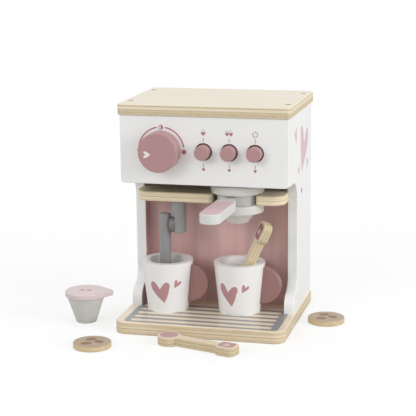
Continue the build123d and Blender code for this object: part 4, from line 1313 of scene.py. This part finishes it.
def make_cross_screws():
    tree, start, end = new_tree("cross_screws", SCREW_INPUTS)
    facing = put(tree, "GeometryNodeInputNamedAttribute", {"Name": "facing"},
                 data_type="FLOAT_VECTOR").outputs[0]
    turn = put(tree, "FunctionNodeAlignRotationToVector", {"Vector": facing}, axis="Z").outputs[0]
    spin = put(tree, "FunctionNodeRandomValue", {3: math.tau, 8: start["Seed"]},
               data_type="FLOAT").outputs[1]
    around = put(tree, "FunctionNodeAxisAngleToRotation",
                 {"Axis": (0, 0, 1), "Angle": spin}).outputs[0]
    turn = put(tree, "FunctionNodeRotateRotation", {0: turn, 1: around},
               rotation_space="LOCAL").outputs[0]
    copies = put(tree, "GeometryNodeInstanceOnPoints",
                 {"Points": start["Geometry"], "Instance": make_one_screw(tree, start),
                  "Rotation": turn}).outputs[0]
    return finish_tree(tree, end, copies, start["Metal"])


cross_screws = make_cross_screws()
print("tree", cross_screws.name)

# %% [markdown]
# Each set reads its places from the box of the pins it stands for: the outer face of the heads,
# less one head's radius, is a screw's axis.

# %% Screws
COVER_HEAD, BASE_HEAD, SHELF_HEAD = 2.6 * MM, 3.5 * MM, 3.2 * MM
COVER_REST = (1.5 * MM, 1.2 * MM, 12 * MM)
LONG_REST = (2.2 * MM, 1.8 * MM, 28 * MM)
low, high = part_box("cover_screws")
cover_facing = {(x, high.y, z): (0, 1, 0) for x in (low.x + COVER_HEAD, high.x - COVER_HEAD)
                for z in (low.z + COVER_HEAD, (low.z + high.z) / 2, high.z - COVER_HEAD)}
low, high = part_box("base_screws")
base_facing = {(x, y, low.z): (0, 0, -1) for x in (low.x + BASE_HEAD, high.x - BASE_HEAD)
               for y in (low.y + BASE_HEAD, high.y - BASE_HEAD)}
low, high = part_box("shelf_screws")
shelf_facing = {(x, (low.y + high.y) / 2, (low.z + high.z) / 2): (way, 0, 0)
                for x, way in ((low.x, -1), (high.x, 1))}
SCREW_SETS = [
    ("cover_screw_set", "cover_screws", cover_facing, COVER_HEAD, *COVER_REST),
    ("base_screw_set", "base_screws", base_facing, BASE_HEAD, *LONG_REST),
    ("shelf_screw_set", "shelf_screws", shelf_facing, SHELF_HEAD, *LONG_REST),
]
for seed, (name, node, facing, head, height, shank, length) in enumerate(SCREW_SETS):
    points = bpy.data.meshes.new(name)
    points.from_pydata(list(facing), [], [])
    ways = points.attributes.new("facing", "FLOAT_VECTOR", "POINT")
    for item, way in zip(ways.data, facing.values()):
        item.vector = way
    values = {"Head radius": head, "Head height": height, "Shank radius": shank,
              "Length": length, "Seed": seed, "Metal": steel_screw}
    piece = grow(name, cross_screws, points, values)
    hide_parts(node)
    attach(piece, "machine")

# %% [markdown]
# ## Button springs
#
# Behind each button a coil spring stands between the button's flange and the wooden rail. A spring
# follows a rule, so its tree draws a spiral and sweeps a round wire along it.

# %% Spring tree
SPRING_INPUTS = [("Radius", NUMBER), ("Wire", NUMBER), ("Length", NUMBER), ("Turns", NUMBER),
                 ("Place", PLACE), ("Metal", FINISH)]
STEPS_IN_TURN, WIRE_SIDES = 28, 10


def make_spring_tree():
    tree, start, end = new_tree("return_spring", SPRING_INPUTS)
    spiral = put(tree, "GeometryNodeCurveSpiral",
                 {"Resolution": STEPS_IN_TURN, "Rotations": start["Turns"],
                  "Start Radius": start["Radius"], "End Radius": start["Radius"],
                  "Height": start["Length"]}).outputs[0]
    section = put(tree, "GeometryNodeCurvePrimitiveCircle",
                  {"Resolution": WIRE_SIDES, "Radius": start["Wire"]}).outputs[0]
    coil = put(tree, "GeometryNodeCurveToMesh",
               {"Curve": spiral, "Profile Curve": section, "Fill Caps": True}).outputs[0]
    towards_front = put(tree, "FunctionNodeEulerToRotation", {0: FACE_ON}).outputs[0]
    coil = put(tree, "GeometryNodeTransform",
               {"Geometry": coil, "Translation": start["Place"],
                "Rotation": towards_front}).outputs[0]
    return finish_tree(tree, end, coil, start["Metal"])


return_spring = make_spring_tree()
print("tree", return_spring.name)

# %% [markdown]
# The real spring gets shorter as its button goes in. A mesh that rides on one body can't do that by
# itself, so each finished spring rides on the machine at its full length, with a mesh of its own.

# %% Springs
SPRING_WIRE = 0.5 * MM
SPRING_TURNS = 5.0
for side in ("left", "middle", "right"):
    low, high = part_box("button_spring_" + side)
    rail_end = ((low.x + high.x) / 2, high.y, (low.z + high.z) / 2)
    length = high.y - low.y
    values = {"Radius": (high.x - low.x) / 2 - SPRING_WIRE, "Wire": SPRING_WIRE,
              "Length": length - 2 * SPRING_WIRE, "Turns": SPRING_TURNS,
              "Place": (rail_end[0], rail_end[1] - SPRING_WIRE, rail_end[2]),
              "Metal": spring_steel}
    piece = grow("return_spring_" + side, return_spring, bpy.data.meshes.new("spring"), values)
    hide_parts("button_spring_" + side)
    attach(piece, "machine")
    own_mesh(piece)
